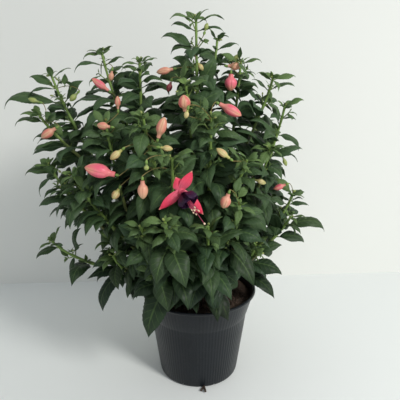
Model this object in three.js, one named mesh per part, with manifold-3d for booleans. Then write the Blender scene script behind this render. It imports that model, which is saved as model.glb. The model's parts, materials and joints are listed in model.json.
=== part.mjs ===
// A potted fuchsia: a bushy plant of branched leafy stems, with hanging buds and one open flower,
// growing in compost in a flared nursery pot. Millimetres, +Z up. The origin is the middle of the
// pot's underside, and -Y is the plant's front.
import * as THREE from 'three';
import { mergeVertices } from 'three/addons/utils/BufferGeometryUtils.js';
import Module from 'manifold-3d';

const wasm = await Module();
wasm.setup();

// ---------------------------------------------------------------- driving dimensions

const POT = {
  height: 150,
  rimRadius: 95, // outside, over the lip
  collarRadius: 81, // outside, where the flared collar meets the body
  collarHeight: 110,
  footRadius: 66,
  footRound: 4, // the rounded corner between wall and base
  wall: 1.8,
  lip: 2.6, // the lip stands this far out of the collar
  lipHeight: 4,
  base: 3,
  sides: 32,
  drainHoles: 8,
  drainRadius: 5,
};

const COMPOST = { top: 137, dome: 5, gap: 0.5, floor: 3.4, grain: 2.2, sides: 16, seed: 41 };

const STEM = {
  sides: 5,
  trunkRadius: 3.4,
  branchRadius: 2.1,
  tipRadius: 0.9,
  segment: 55, // the longest straight piece of a stem
  planted: 30, // how deep a trunk stands in the compost
  trim: 0.4, // slivers where a leaf joins its stem are smoothed away within this distance
};

const LEAF = {
  length: 70, // a full-grown leaf with its stalk
  slimness: 0.42, // width over length
  width: 28, // of the widest
  rib: 1.0, // thickness at the midrib
  heel: 0.4, // how far a leaf reaches past the middle of its stem
  fold: 0.24, // how far the two halves fold up from the midrib, in radians
  clearance: 6, // between leaves of two stems
  ownClearance: 2.5, // between leaves of one stem
  spacing: 4, // between the points that stand for a blade in the clearance test
  attempts: 22,
};

// The length of a leaf pair against a full-grown one, counted from the shoot's tip downwards, and
// how far each pair stands below the one above it.
const PAIR_GROWTH = [0.38, 0.62, 0.84, 1.0, 1.0, 1.0];
const PAIR_GAP = [3, 16, 24, 30, 33, 33];

// ---------------------------------------------------------------- points measured on a picture

// The plant was measured on a 400 x 400 picture of it, taken from EYE and tilted down by `tilt`.
// A place on the plant is given as [column, row, front]: its pixel, and how far in front of the
// pot's axis it stands, in millimetres.
const EYE = { y: -693, z: 489, tilt: 15.3, focal: 450, column: 198.6, row: 200 };

function seen([column, row, front]) {
  const tilt = THREE.MathUtils.degToRad(EYE.tilt);
  const right = (column - EYE.column) / EYE.focal;
  const up = (EYE.row - row) / EYE.focal;
  const ray = new THREE.Vector3(
    right,
    Math.cos(tilt) + up * Math.sin(tilt),
    up * Math.cos(tilt) - Math.sin(tilt),
  );
  return ray.multiplyScalar((-front - EYE.y) / ray.y).add(new THREE.Vector3(0, EYE.y, EYE.z));
}

// ---------------------------------------------------------------- the plant's own measures

// Each branch: the stem (and node) it belongs to, where it starts (`from` a parent branch at a
// share of its length, or a trunk out of the compost), and where its tip is. Hidden tips, at the
// plant's back, are plain points in millimetres.
const BRANCHES = {
  crown: { stem: 'crown', pairs: 5, tip: [196, 17, 10], root: [4, 6] },
  crown_right: { stem: 'crown', pairs: 3, from: ['crown', 0.5], tip: [217.5, 38, -40] },
  crown_front: { stem: 'crown', pairs: 3, from: ['crown', 0.34], tip: [186, 84, 70] },
  right_top: { stem: 'right_top', tip: [241, 62, -15], root: [16, 12] },
  right_high: { stem: 'right_top', pairs: 3, from: ['right_top', 0.45], tip: [273, 78, 0] },
  right_side: { stem: 'right_side', tip: [285, 106, 22], root: [24, 2] },
  right_mid: { stem: 'right_side', pairs: 3, from: ['right_side', 0.45], tip: [270, 148, 60] },
  right_low: { stem: 'right_low', tip: [293, 194, 20], root: [36, -4] },
  right_reach: { stem: 'right_low', pairs: 3, from: ['right_low', 0.35], tip: [291, 216, 30] },
  right_skirt: { stem: 'right_low', from: ['right_low', 0.25], tip: [256, 245, 60] },
  left_top: { stem: 'left_top', tip: [101.5, 52, 0], root: [-12, 12] },
  left_inner: { stem: 'left_top', pairs: 3, from: ['left_top', 0.5], tip: [139.5, 62, 20] },
  left_high: { stem: 'left_high', tip: [51.6, 76, 0], root: [-24, 4] },
  left_side: { stem: 'left_high', from: ['left_high', 0.55], tip: [37.5, 112, 30] },
  left_mid: { stem: 'left_mid', tip: [48, 164, 40], root: [-34, -4] },
  left_drip: { stem: 'left_mid', pairs: 3, from: ['left_mid', 0.45], tip: [66, 188, 60] },
  left_low: { stem: 'left_low', tip: [52, 241, 20], root: [-44, 6] },
  left_skirt: { stem: 'left_low', from: ['left_low', 0.3], tip: [112, 240, 80] },
  front_left: { stem: 'front_left', pairs: 5, tip: [72.7, 174, 95], root: [-22, -18] },
  front_left_high: { stem: 'front_left', pairs: 3, from: ['front_left', 0.4], tip: [105, 122, 85] },
  front_mid: { stem: 'front_mid', pairs: 5, tip: [143, 117, 110], root: [-8, -14] },
  front_flower: { stem: 'front_mid', pairs: 3, from: ['front_mid', 0.4], tip: [172, 158, 135] },
  front_low: { stem: 'front_low', pairs: 5, tip: [165, 222, 165], root: [-10, -34] },
  front_skirt: { stem: 'front_low', pairs: 5, from: ['front_low', 0.25], tip: [140, 226, 140] },
  front_right: { stem: 'front_right', pairs: 5, tip: [211.5, 118, 95], root: [8, -14] },
  front_right_low: { stem: 'front_right', pairs: 3, from: ['front_right', 0.4], tip: [247, 160, 100] },
  front_skirt_right: { stem: 'front_right_low', pairs: 6, tip: [208, 226, 150], root: [14, -32] },
  front_side_right: { stem: 'front_right_low', from: ['front_skirt_right', 0.3], tip: [240, 205, 120] },
  front_drape: { stem: 'front_low', pairs: 3, from: ['front_low', 0.2], tip: [152, 268, 125] },
  left_drape: { stem: 'left_low', pairs: 3, from: ['left_low', 0.25], tip: [113, 256, 85] },
  back_left: { stem: 'back_left', at: [-125, 85, 425], root: [-16, 26] },
  back_left_low: { stem: 'back_left', pairs: 3, from: ['back_left', 0.3], at: [-150, 130, 290] },
  back_mid: { stem: 'back_mid', at: [-15, 105, 455], root: [0, 24] },
  back_low: { stem: 'back_mid', pairs: 3, from: ['back_mid', 0.3], at: [10, 180, 300] },
  back_right: { stem: 'back_right', at: [105, 95, 415], root: [18, 28] },
  back_right_low: { stem: 'back_right', pairs: 3, from: ['back_right', 0.3], at: [140, 120, 275] },
  back_left_mid: { stem: 'back_left', pairs: 3, from: ['back_left', 0.45], at: [-70, 150, 370] },
  back_left_skirt: { stem: 'back_left', pairs: 3, from: ['back_left', 0.15], at: [-80, 155, 225] },
  back_right_mid: { stem: 'back_right', pairs: 3, from: ['back_right', 0.45], at: [60, 160, 365] },
  back_right_skirt: { stem: 'back_right', pairs: 3, from: ['back_right', 0.15], at: [75, 150, 220] },
};

// Leaves that make the plant's outline or lie on its front, by the branch that bears them. Each
// is given by the place of its tip, where `front` counts from the leaf's own foot.
const LEAF_TIPS = {
  crown: [[171, 25, 5], [213, 24, -5], [161, 36, 0], [170, 53, 5], [224, 31, 0], [176, 60, 15], [217, 55, 5]],
  crown_right: [[239, 44, 0], [214, 48, 20], [236, 57, 5]],
  crown_front: [[165, 101, 15], [206, 101, 15], [171, 127, 15]],
  right_top: [[262, 62, 0], [256, 74, 10], [220, 72, 20]],
  right_high: [[295, 85, 0], [252, 79, 0], [279, 91, 20], [246, 90, 10], [296, 76, -10]],
  right_side: [[300, 150, 0], [296, 119, 10], [270, 118, 20], [304, 100, 0]],
  right_mid: [[299, 153, 5], [294, 169, 10], [259, 168, 20], [250, 150, 10]],
  right_low: [[302, 190, 10], [309, 205, 0], [268, 200, 25], [282, 176, 5]],
  right_reach: [[325, 231, 0], [307, 219, 10], [299, 222, 20]],
  right_skirt: [[282, 245, 0], [283, 274, 10], [267, 279, 15], [242, 262, 15]],
  left_top: [[83, 59, 0], [124, 57, 5], [74, 72, 10], [130, 74, 15], [90, 92, 15]],
  left_inner: [[151, 57, 0], [121, 66, 10], [174, 67, 10], [135, 90, 20]],
  left_high: [[29, 76, 0], [71, 68, 0], [27, 100, 10], [88, 88, 15], [3, 107, 0]],
  left_side: [[14, 125, 0], [30, 104, 0], [58, 122, 12], [32, 140, 10]],
  left_mid: [[24, 174, 0], [39, 196, 10], [32, 167, 15], [66, 160, 15]],
  left_drip: [[38, 206, 0], [56, 217, 5], [48, 208, 10], [64, 229, 12]],
  left_low: [[35, 258, 0], [60, 226, 0], [70, 278, 10], [79, 228, 15]],
  left_skirt: [[123, 274, 25], [92, 268, 10], [100, 214, 15]],
  left_drape: [[102, 312, 10], [118, 290, 20]],
  front_left: [[60, 186, 0], [84, 190, 15], [83, 155, 5], [104, 207, 25]],
  front_left_high: [[92, 112, 0], [120, 139, 15], [80, 138, 10], [128, 164, 30]],
  front_mid: [[146, 161, 25], [129, 112, 0], [158, 118, 0], [118, 172, 20], [165, 140, 5]],
  front_flower: [[194, 152, 5], [157, 166, 5], [146, 214, 25]],
  front_low: [[159, 238, 0], [199, 243, 5], [178, 252, 25], [143, 222, 0], [186, 288, 30], [160, 282, 30]],
  front_skirt: [[122, 240, 0], [150, 267, 15], [175, 304, 30], [135, 292, 20]],
  front_drape: [[148, 338, 15], [132, 300, 10], [168, 312, 20]],
  front_right: [[196, 132, 5], [228, 118, 0], [242, 139, 10], [215, 158, 25], [200, 172, 20]],
  front_right_low: [[262, 178, 5], [238, 172, 10], [258, 152, 0], [240, 196, 25]],
  front_skirt_right: [[201, 249, 0], [229, 271, 10], [227, 323, 20], [190, 310, 25], [222, 236, 0]],
  front_side_right: [[256, 215, 5], [236, 226, 15], [262, 242, 10], [254, 286, 30]],
};

// Buds: where the tube starts, where the bud ends, its girth, and its colour.
const BUDS = {
  bud_rose: { base: [114.9, 174.5, 135], end: [84.7, 167.3, 135], girth: 17, colour: 'coral' },
  bud_front_left: { base: [142.5, 180.7, 150], end: [143.2, 199, 150], girth: 12.5, colour: 'peach' },
  bud_shade: { base: [119, 189, 120], end: [113, 199, 120], girth: 10, colour: 'cream' },
  bud_cream_left: { base: [121.8, 149.9, 125], end: [110.3, 159.4, 125], girth: 9, colour: 'cream' },
  bud_upright: { base: [158.2, 137.8, 125], end: [164.5, 117.3, 125], girth: 12.5, colour: 'peach' },
  bud_facing: { base: [185.5, 111, 110], end: [183.5, 95, 115], girth: 15, colour: 'peach' },
  bud_small: { base: [187.5, 110, 127], end: [185.5, 118.5, 125], girth: 6, colour: 'cream' },
  bud_tan: { base: [173, 69, 30], end: [156.5, 72.5, 30], girth: 10, colour: 'peach' },
  bud_deep: { base: [171, 82, 40], end: [168, 92, 40], girth: 8, colour: 'red' },
  bud_dusty: { base: [108.6, 90.6, 30], end: [92, 78.5, 30], girth: 10, colour: 'coral' },
  bud_slim: { base: [118, 109, 60], end: [117.5, 96, 60], girth: 7.5, colour: 'peach' },
  bud_brown: { base: [112, 71, 15], end: [110.5, 81, 15], girth: 7.5, colour: 'peach' },
  bud_left: { base: [55.5, 128.4, 50], end: [41.5, 137.8, 50], girth: 12, colour: 'peach' },
  bud_inner: { base: [110, 127, 95], end: [97, 125, 95], girth: 10, colour: 'peach' },
  bud_right_top: { base: [228, 66, 5], end: [241, 66.5, 5], girth: 11, colour: 'peach' },
  bud_opening: { base: [231, 74, 20], end: [230.5, 91, 20], girth: 17, colour: 'coral' },
  bud_coral: { base: [219.5, 104, 75], end: [241.3, 115.7, 75], girth: 14, colour: 'coral' },
  bud_cream_right: { base: [229.5, 158.3, 125], end: [216.5, 148.4, 125], girth: 8.5, colour: 'cream' },
  bud_high: { base: [198, 63, 25], end: [203, 70.5, 25], girth: 7, colour: 'cream' },
  bud_salmon: { base: [285.5, 184.6, 30], end: [273.5, 189, 30], girth: 8.5, colour: 'coral' },
  bud_yellow: { base: [255, 179.5, 65], end: [266, 183.5, 65], girth: 7.5, colour: 'cream' },
  bud_front_right: { base: [228.4, 194, 140], end: [223, 208.1, 140], girth: 13, colour: 'peach' },
  bud_centre: { base: [160.6, 147.6, 135], end: [172.8, 149, 135], girth: 7.5, colour: 'cream' },
};

// Young buds are still green and are one piece with the stem that they hang from.
const YOUNG_BUDS = {
  young_left: { base: [39, 102, 25], end: [28, 98.5, 25], girth: 7 },
  young_inner: { base: [77, 93.5, 20], end: [70, 101, 20], girth: 8.5 },
  young_crown: { base: [205, 31, 15], end: [207.5, 23, 15], girth: 6.5 },
  young_right_top: { base: [232, 60, -5], end: [241, 54.5, -5], girth: 7 },
  young_right: { base: [283, 157.5, 40], end: [286.5, 166, 40], girth: 6 },
  young_round: { base: [146.5, 164.5, 156], end: [146.5, 170.5, 156], girth: 6.5 },
};

const COLOURS = {
  pot: 0x2e3236,
  compost: 0x33261f,
  leaf: 0x2f4f2f,
  coral: 0xe8606e,
  peach: 0xe8987f,
  cream: 0xd8cc8f,
  red: 0x9c2438,
  purple: 0x3a1140,
  stamen: 0xe9b9b0,
};

// ---------------------------------------------------------------- small helpers

const UP = new THREE.Vector3(0, 0, 1);
const vec = (p) => new THREE.Vector3(...p);
const along = (a, b, t) => a.clone().lerp(b, t);

// A seeded draw: whole-number keys give the same numbers between 0 and 1 each time.
function drawFrom(...keys) {
  let state = 0x9e3779b9;
  for (const key of keys) state = Math.imul(state ^ (key + 0x7f4a7c15), 0x85ebca6b) ^ (state >>> 13);
  return () => {
    state = (state + 0x6d2b79f5) | 0;
    let t = Math.imul(state ^ (state >>> 15), 1 | state);
    t = (t + Math.imul(t ^ (t >>> 7), 61 | t)) ^ t;
    return ((t ^ (t >>> 14)) >>> 0) / 4294967296;
  };
}

// A closed mesh from points and triangles, and its solid.
function solidFrom(points, triangles) {
  const vertProperties = new Float32Array(points.flatMap((p) => [p.x, p.y, p.z]));
  const mesh = new wasm.Mesh({ numProp: 3, vertProperties, triVerts: new Uint32Array(triangles.flat()) });
  mesh.merge();
  return new wasm.Manifold(mesh);
}

function solidOf(geometry) {
  geometry.deleteAttribute('normal');
  geometry.deleteAttribute('uv');
  const merged = mergeVertices(geometry, 1e-4);
  return new wasm.Manifold(
    new wasm.Mesh({
      numProp: 3,
      vertProperties: merged.attributes.position.array,
      triVerts: new Uint32Array(merged.index.array),
    }),
  );
}

function geometryOf(solid) {
  const { vertProperties, triVerts, numProp, numVert } = solid.getMesh();
  const position = new Float32Array(numVert * 3);
  for (let i = 0; i < numVert; i++) position.set(vertProperties.subarray(i * numProp, i * numProp + 3), i * 3);
  const geometry = new THREE.BufferGeometry();
  geometry.setAttribute('position', new THREE.BufferAttribute(position, 3));
  geometry.setIndex(new THREE.BufferAttribute(new Uint32Array(triVerts), 1));
  return geometry;
}

const plant = new THREE.Group();

function place(name, solid, colour, roughness = 0.6, metalness = 0) {
  const material = new THREE.MeshStandardMaterial({ color: colour, roughness, metalness });
  const geometry = geometryOf(solid);
  geometry.computeVertexNormals();
  const mesh = new THREE.Mesh(geometry, material);
  mesh.name = name;
  plant.add(mesh);
}

// A tube of rings: each ring has a centre, a radius, and the frame's two cross directions.
function tube(centres, radii, sides) {
  const points = [];
  const triangles = [];
  const count = centres.length;
  let across = new THREE.Vector3(1, 0, 0);
  for (let i = 0; i < count; i++) {
    const ahead = centres[Math.min(i + 1, count - 1)].clone().sub(centres[Math.max(i - 1, 0)]).normalize();
    if (Math.abs(ahead.dot(across)) > 0.95) across = new THREE.Vector3(0, 1, 0);
    across = across.clone().addScaledVector(ahead, -ahead.dot(across)).normalize();
    const over = ahead.clone().cross(across);
    for (let k = 0; k < sides; k++) {
      const turn = (k / sides) * 2 * Math.PI;
      points.push(
        centres[i]
          .clone()
          .addScaledVector(across, Math.cos(turn) * radii[i])
          .addScaledVector(over, Math.sin(turn) * radii[i]),
      );
    }
  }
  for (let i = 0; i + 1 < count; i++) {
    for (let k = 0; k < sides; k++) {
      const a = i * sides + k;
      const b = i * sides + ((k + 1) % sides);
      triangles.push([a, b, b + sides], [a, b + sides, a + sides]);
    }
  }
  const last = (count - 1) * sides;
  for (let k = 1; k + 1 < sides; k++) {
    triangles.push([0, k + 1, k], [last, last + k, last + k + 1]);
  }
  return solidFrom(points, triangles);
}

const curvePoint = (p, c, q, t) => along(along(p, c, t), along(c, q, t), t);

// ---------------------------------------------------------------- pot

function potRadius(z) {
  if (z <= POT.collarHeight) {
    return THREE.MathUtils.mapLinear(z, 0, POT.collarHeight, POT.footRadius, POT.collarRadius);
  }
  const share = (z - POT.collarHeight) / (POT.height - POT.collarHeight);
  return THREE.MathUtils.lerp(POT.collarRadius, POT.rimRadius - POT.lip, share ** 0.9);
}

function makePot() {
  const outside = [];
  for (let i = 0; i <= 2; i++) {
    const turn = (i / 2) * (Math.PI / 2);
    outside.push([
      POT.footRadius - POT.footRound * (1 - Math.sin(turn)),
      POT.footRound * (1 - Math.cos(turn)),
    ]);
  }
  for (const z of [POT.collarHeight, 128, POT.height - POT.lipHeight]) outside.push([potRadius(z), z]);
  outside.push([POT.rimRadius, POT.height - POT.lipHeight + 1], [POT.rimRadius, POT.height - 0.8]);
  outside.push([POT.rimRadius - 0.8, POT.height]);
  const inside = [POT.height, 128, POT.collarHeight, POT.base].map((z) => [potRadius(z) - POT.wall, z]);
  const profile = [[0, 0], ...outside, ...inside, [0, POT.base]];
  const shell = solidOf(
    new THREE.LatheGeometry(
      profile.map(([r, z]) => new THREE.Vector2(r, z)),
      POT.sides,
    ).rotateX(Math.PI / 2),
  );
  let pot = shell;
  for (let i = 0; i < POT.drainHoles; i++) {
    const turn = ((i + 0.5) / POT.drainHoles) * 2 * Math.PI;
    const hole = new THREE.CylinderGeometry(POT.drainRadius, POT.drainRadius, 14, 6).rotateX(Math.PI / 2);
    hole.translate((POT.footRadius - 5) * Math.cos(turn), (POT.footRadius - 5) * Math.sin(turn), 0);
    pot = pot.subtract(solidOf(hole));
  }
  return pot;
}

// ---------------------------------------------------------------- stems

// Each branch is a smooth path of points from its start to its tip.
const paths = {};

function branchPath(name) {
  const branch = BRANCHES[name];
  const tip = branch.at ? vec(branch.at) : seen(branch.tip);
  let start;
  let first;
  if (branch.from) {
    const fork = pathAt(paths[branch.from[0]], branch.from[1]);
    start = fork.point;
    first = tip.clone().sub(start).normalize().addScaledVector(fork.ahead, 0.8).normalize();
  } else {
    start = new THREE.Vector3(...branch.root, COMPOST.top - STEM.planted);
    const outward = new THREE.Vector3(tip.x, tip.y, 0).multiplyScalar(0.002);
    first = UP.clone().add(outward).normalize();
  }
  const span = start.distanceTo(tip);
  const chord = tip.clone().sub(start).normalize();
  const last = chord.clone().add(UP.clone().multiplyScalar(0.55)).normalize();
  const a = start.clone().addScaledVector(first, span * 0.36);
  const b = tip.clone().addScaledVector(last, -span * 0.3);
  const curve = new THREE.CubicBezierCurve3(start, a, b, tip);
  return curve.getSpacedPoints(Math.max(3, Math.round(curve.getLength() / STEM.segment)));
}

for (const name of Object.keys(BRANCHES)) paths[name] = branchPath(name);

const pathLength = (path) => path.slice(1).reduce((sum, p, i) => sum + p.distanceTo(path[i]), 0);

function pathAt(path, share) {
  const at = Math.min(Math.max(share, 0), 1) * (path.length - 1);
  const i = Math.min(Math.floor(at), path.length - 2);
  return { point: along(path[i], path[i + 1], at - i), ahead: path[i + 1].clone().sub(path[i]).normalize() };
}

function stemTube(name) {
  const path = paths[name];
  const thick = BRANCHES[name].from ? STEM.branchRadius : STEM.trunkRadius;
  const radii = path.map((_, i) => THREE.MathUtils.lerp(thick, STEM.tipRadius, i / (path.length - 1)));
  return tube(path, radii, BRANCHES[name].from ? STEM.sides - 1 : STEM.sides);
}

// ---------------------------------------------------------------- leaves

// Where the leaf pairs sit on a branch, from the tip down: close together at the tip, and one
// internode apart lower down. A stem is bare near its foot.
function leafPairs(name) {
  const branch = BRANCHES[name];
  const path = paths[name];
  const length = pathLength(path);
  const bare = branch.from ? 16 : STEM.planted + 26;
  const count = branch.pairs ?? 4;
  const pairs = [];
  let below = 0;
  for (let i = 0; i < count; i++) {
    below += PAIR_GAP[i];
    if (length - below > bare) pairs.push({ index: i, share: (length - below) / length });
  }
  return pairs;
}

const branchNumber = Object.fromEntries(Object.keys(BRANCHES).map((name, i) => [name, i]));

// A leaf is a bent line from its root, in the stem, over its bend to its tip, with the direction
// across its blade and its width. This one grows by the plant's rule: pairs stand crosswise on the
// stem, young ones point up, and old ones spread and hang. Each attempt draws it a little otherwise.
function grownLeaf(name, pair, side, attempt) {
  const number = branchNumber[name];
  const { point: root, ahead } = pathAt(paths[name], pair.share);
  const draw = drawFrom(number, pair.index, side, attempt);
  const age = Math.min(pair.index / 5, 1);
  const crosswise = new THREE.Vector3(ahead.y, -ahead.x, 0.001).normalize();
  const turn = number * 1.1 + pair.index * (Math.PI / 2) + side * Math.PI;
  const outward = crosswise.applyAxisAngle(ahead, turn + (draw() - 0.5) * (0.5 + 0.1 * attempt));
  const length = LEAF.length * PAIR_GROWTH[pair.index] * (1.05 - 0.2 * draw()) * (1 - 0.01 * attempt);
  const rise = THREE.MathUtils.lerp(1.0, 0.2, age);
  const droop = THREE.MathUtils.lerp(0.5, 1.2, age) * (0.6 + 0.8 * draw());
  const first = outward.addScaledVector(ahead, rise).normalize();
  const second = first.clone().addScaledVector(UP, -droop).normalize();
  const bend = root.clone().addScaledVector(first, length * 0.5);
  const tip = bend.clone().addScaledVector(second, length * 0.5);
  const line = { root, bend, tip, width: length * LEAF.slimness };
  return { ...line, across: acrossBlade(line, (draw() - 0.5) * 0.8, age, 0.4) };
}

// This leaf reaches for a tip that is given.
function aimedLeaf(name, pair, [column, row, front], attempt) {
  const { point: root, ahead } = pathAt(paths[name], pair.share);
  const draw = drawFrom(branchNumber[name], column, row, attempt);
  const tip = seen([column, row, front - root.y]);
  const stray = 1.6 * attempt;
  tip.add(new THREE.Vector3(draw() - 0.5, draw() - 0.5, draw() - 0.5).multiplyScalar(stray));
  const length = root.distanceTo(tip);
  const outward = tip.clone().sub(root).setZ(0).normalize();
  const bend = along(root, tip, 0.5).addScaledVector(UP, length * 0.14);
  bend.addScaledVector(outward, length * 0.08).addScaledVector(ahead, length * 0.05);
  const line = { root, bend, tip, width: Math.min(length * LEAF.slimness, LEAF.width) };
  const age = Math.min(pair.index / 4, 1);
  return { ...line, across: acrossBlade(line, (draw() - 0.5) * (0.4 + 0.05 * attempt), age, 0.9) };
}

// The blade lies across the light. A young leaf's upper face looks mostly up, and an old one's looks
// away from the pot's axis and to the front, where the light came from.
function acrossBlade({ root, bend, tip }, roll, age, toFront) {
  const chord = tip.clone().sub(root).normalize();
  const outward = new THREE.Vector3(tip.x, tip.y, 0).normalize();
  const arch = bend.clone().sub(along(root, tip, 0.5)).normalize();
  const face = new THREE.Vector3(0, -toFront * (0.45 + 0.55 * age), THREE.MathUtils.lerp(1.1, 0.5, age));
  face.addScaledVector(outward, 0.6).addScaledVector(arch, 0.5);
  return chord.clone().cross(face).normalize().applyAxisAngle(chord, roll);
}

// Half the blade's width at a share of the leaf's length, against its full width.
const BLADE = [
  [0.32, 0.9],
  [0.66, 0.82],
];

// A leaf is a closed blade, from a point in the middle of the stem, over rings of four points at
// the two edges and on both faces of the midrib, to the tip.
function leafSolid({ root, bend, tip, across, width }, stations) {
  const heel = root.clone().addScaledVector(bend.clone().sub(root).normalize(), -LEAF.heel);
  const points = [heel];
  const triangles = [];
  for (const [share, wide] of stations) {
    const middle = curvePoint(root, bend, tip, share);
    const ahead = curvePoint(root, bend, tip, share + 0.02).sub(middle).normalize();
    const sideways = across.clone().addScaledVector(ahead, -across.dot(ahead)).normalize();
    const face = ahead.clone().cross(sideways).normalize();
    const half = Math.max((width / 2) * wide, 0.7);
    const rib = LEAF.rib * (1 - 0.3 * share);
    const edge = half * Math.cos(LEAF.fold);
    const lift = half * Math.sin(LEAF.fold);
    points.push(
      middle.clone().addScaledVector(sideways, edge).addScaledVector(face, lift),
      middle.clone().addScaledVector(face, rib / 2),
      middle.clone().addScaledVector(sideways, -edge).addScaledVector(face, lift),
      middle.clone().addScaledVector(face, -rib / 2),
    );
  }
  points.push(tip);
  const end = points.length - 1;
  for (let k = 0; k < 4; k++) {
    const next = (k + 1) % 4;
    triangles.push([0, 1 + next, 1 + k], [end, end - 4 + k, end - 4 + next]);
    for (let a = 1; a + 4 < end; a += 4) {
      const b = a + 4;
      // both faces of a half blade are cut along the same diagonal
      if (k % 2 === 0) triangles.push([a + k, a + next, b + next], [a + k, b + next, b + k]);
      else triangles.push([a + k, a + next, b + k], [a + next, b + next, b + k]);
    }
  }
  return solidFrom(points, triangles);
}

// ---------------------------------------------------------------- room between the pieces

// Points that something already fills, in a grid of cells. Each has a radius and an owner: the
// stem that it belongs to.
const CELL = 12;
const filled = new Map();
const cellOf = (x, y, z) => `${Math.floor(x / CELL)},${Math.floor(y / CELL)},${Math.floor(z / CELL)}`;

function fill(point, radius, owner) {
  const key = cellOf(point.x, point.y, point.z);
  if (!filled.has(key)) filled.set(key, []);
  filled.get(key).push({ point, radius, owner });
}

// True if a point keeps `room` from what other stems fill, and `ownRoom` from what its own does.
function isFree(point, owner, room = LEAF.clearance, ownRoom = LEAF.ownClearance, apartFrom = []) {
  for (let dx = -CELL; dx <= CELL; dx += CELL) {
    for (let dy = -CELL; dy <= CELL; dy += CELL) {
      for (let dz = -CELL; dz <= CELL; dz += CELL) {
        const near = filled.get(cellOf(point.x + dx, point.y + dy, point.z + dz));
        if (!near) continue;
        for (const other of near) {
          if (apartFrom.includes(other.owner)) continue;
          const least = other.owner === owner ? ownRoom : room;
          if (other.point.distanceTo(point) < least + other.radius) return false;
        }
      }
    }
  }
  return true;
}

function pointsBetween(from, to, spacing) {
  const steps = Math.ceil(from.distanceTo(to) / spacing);
  return Array.from({ length: steps + 1 }, (_, i) => along(from, to, i / steps));
}

function fillLine(from, to, radius, owner) {
  for (const point of pointsBetween(from, to, 3)) fill(point, radius, owner);
}

function bladePoints({ root, bend, tip, across, width }) {
  const length = root.distanceTo(bend) + bend.distanceTo(tip);
  const rows = Math.ceil((length * 0.75) / LEAF.spacing);
  const columns = Math.max(1, Math.ceil(width / LEAF.spacing));
  const found = [];
  for (let i = 0; i <= rows; i++) {
    const share = 0.25 + (0.75 * i) / rows;
    const middle = curvePoint(root, bend, tip, share);
    const half = (width / 2) * Math.min(1, (1 - share) * 2.2 + 0.1, (share - 0.15) * 5);
    for (let k = 0; k <= columns; k++) {
      found.push(middle.clone().addScaledVector(across, half * ((2 * k) / columns - 1)));
    }
  }
  return found;
}

// A leaf stays out of the pot's wall and above the compost, and hangs over the rim no lower
// than `lowest`.
function clearOfPot(point, lowest) {
  const reach = Math.hypot(point.x, point.y);
  if (reach > POT.rimRadius + 5) return point.z > lowest;
  if (reach < POT.rimRadius - 9) return point.z > COMPOST.top + COMPOST.dome + 4;
  return point.z > POT.height + 5;
}

// ---------------------------------------------------------------- buds and their stalks

// The axils that a bud could hang from, the likeliest first: at a natural stalk's length, and
// behind or above the bud.
function axilsFor(base, direction) {
  const axils = [];
  for (const name of Object.keys(BRANCHES)) {
    for (const pair of leafPairs(name)) {
      const { point } = pathAt(paths[name], pair.share);
      const reach = point.distanceTo(base);
      const beyond = Math.max(0, point.clone().sub(base).dot(direction) / Math.max(reach, 1));
      const cost = Math.abs(reach - 26) + 14 * beyond + (reach < 12 ? 30 : 0);
      axils.push({ name, point, reach, cost });
    }
  }
  return axils.sort((a, b) => a.cost - b.cost).slice(0, 12);
}

function budLine({ base, end }) {
  const start = seen(base);
  const tip = seen(end);
  return { start, tip, direction: tip.clone().sub(start).normalize() };
}

// A bud's radius against its girth: a short tube, then the swelling of the closed sepals.
const BUD_PROFILE = [
  [0, 0.21],
  [0.24, 0.28],
  [0.5, 0.5],
  [0.82, 0.38],
  [1, 0.06],
];

function budSolid({ start, tip }, girth, sides) {
  return tube(
    BUD_PROFILE.map(([share]) => along(start, tip, share)),
    BUD_PROFILE.map(([, radius]) => radius * girth),
    sides,
  );
}

const OVARY = 5.5;

// A stalk arches from its axil to the ovary, a green swelling that the bud's tube stands on.
function stalkLine({ start, direction }, axil, attempt) {
  const draw = drawFrom(Math.round(start.x * 10), Math.round(start.z * 10), attempt);
  const seat = start.clone().addScaledVector(direction, -STALK_GAP);
  const joint = seat.clone().addScaledVector(direction, -OVARY);
  const arch = along(axil.point, joint, 0.5).addScaledVector(UP, axil.reach * 0.12);
  arch.addScaledVector(direction, -axil.reach * 0.18);
  const stray = axil.reach * 0.12 * attempt;
  arch.add(new THREE.Vector3(draw() - 0.5, draw() - 0.5, draw() - 0.5).multiplyScalar(stray));
  return { from: axil.point, arch, joint, seat };
}

const STALK_GAP = 0.4;

function stalkSolid({ from, arch, joint, seat }) {
  const centres = [0, 0.5, 1].map((t) => curvePoint(from, arch, joint, t));
  return tube([...centres, seat], [0.8, 0.7, 1.0, 1.7], 4);
}

// The straight pieces of a stalk, as points 2 mm apart.
function stalkPoints({ from, arch, joint, seat }) {
  const middle = curvePoint(from, arch, joint, 0.5);
  return [...pointsBetween(from, middle, 2), ...pointsBetween(middle, joint, 2), ...pointsBetween(joint, seat, 2)];
}

// The first stalk that keeps off every other stem and bud, from the likeliest axil that has one.
function growStalk(line, owner) {
  for (const axil of axilsFor(line.start, line.direction)) {
    const stem = BRANCHES[axil.name].stem;
    for (let attempt = 0; attempt < 12; attempt++) {
      const stalk = stalkLine(line, axil, attempt);
      const points = stalkPoints(stalk);
      if (!points.every((p) => isFree(p, stem, 2.2, -9, [owner, 'view']))) continue;
      addTo(stem, stalkSolid(stalk));
      for (const p of points) fill(p, 0.5, stem);
      return stem;
    }
  }
  throw new Error(`no room for the stalk of ${owner}`);
}

// ---------------------------------------------------------------- the open flower

const FLOWER = {
  mouth: [181.8, 192, 146], // where the tube ends and the sepals spread
  facing: [0.55, -0.6, -0.58],
  tube: 15,
  tubeRadius: 3.2,
  sepalTips: [[175.5, 177, 146], [191.6, 170.5, 148], [158.7, 209, 146], [203, 214, 132]],
  sepalWidth: 16,
  skirt: 19, // length of a petal
  skirtRadius: 13,
  outerPetals: 5,
  innerPetals: 3,
  stamens: 6,
  stamenLength: 27,
  pistilLength: 50,
};

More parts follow.
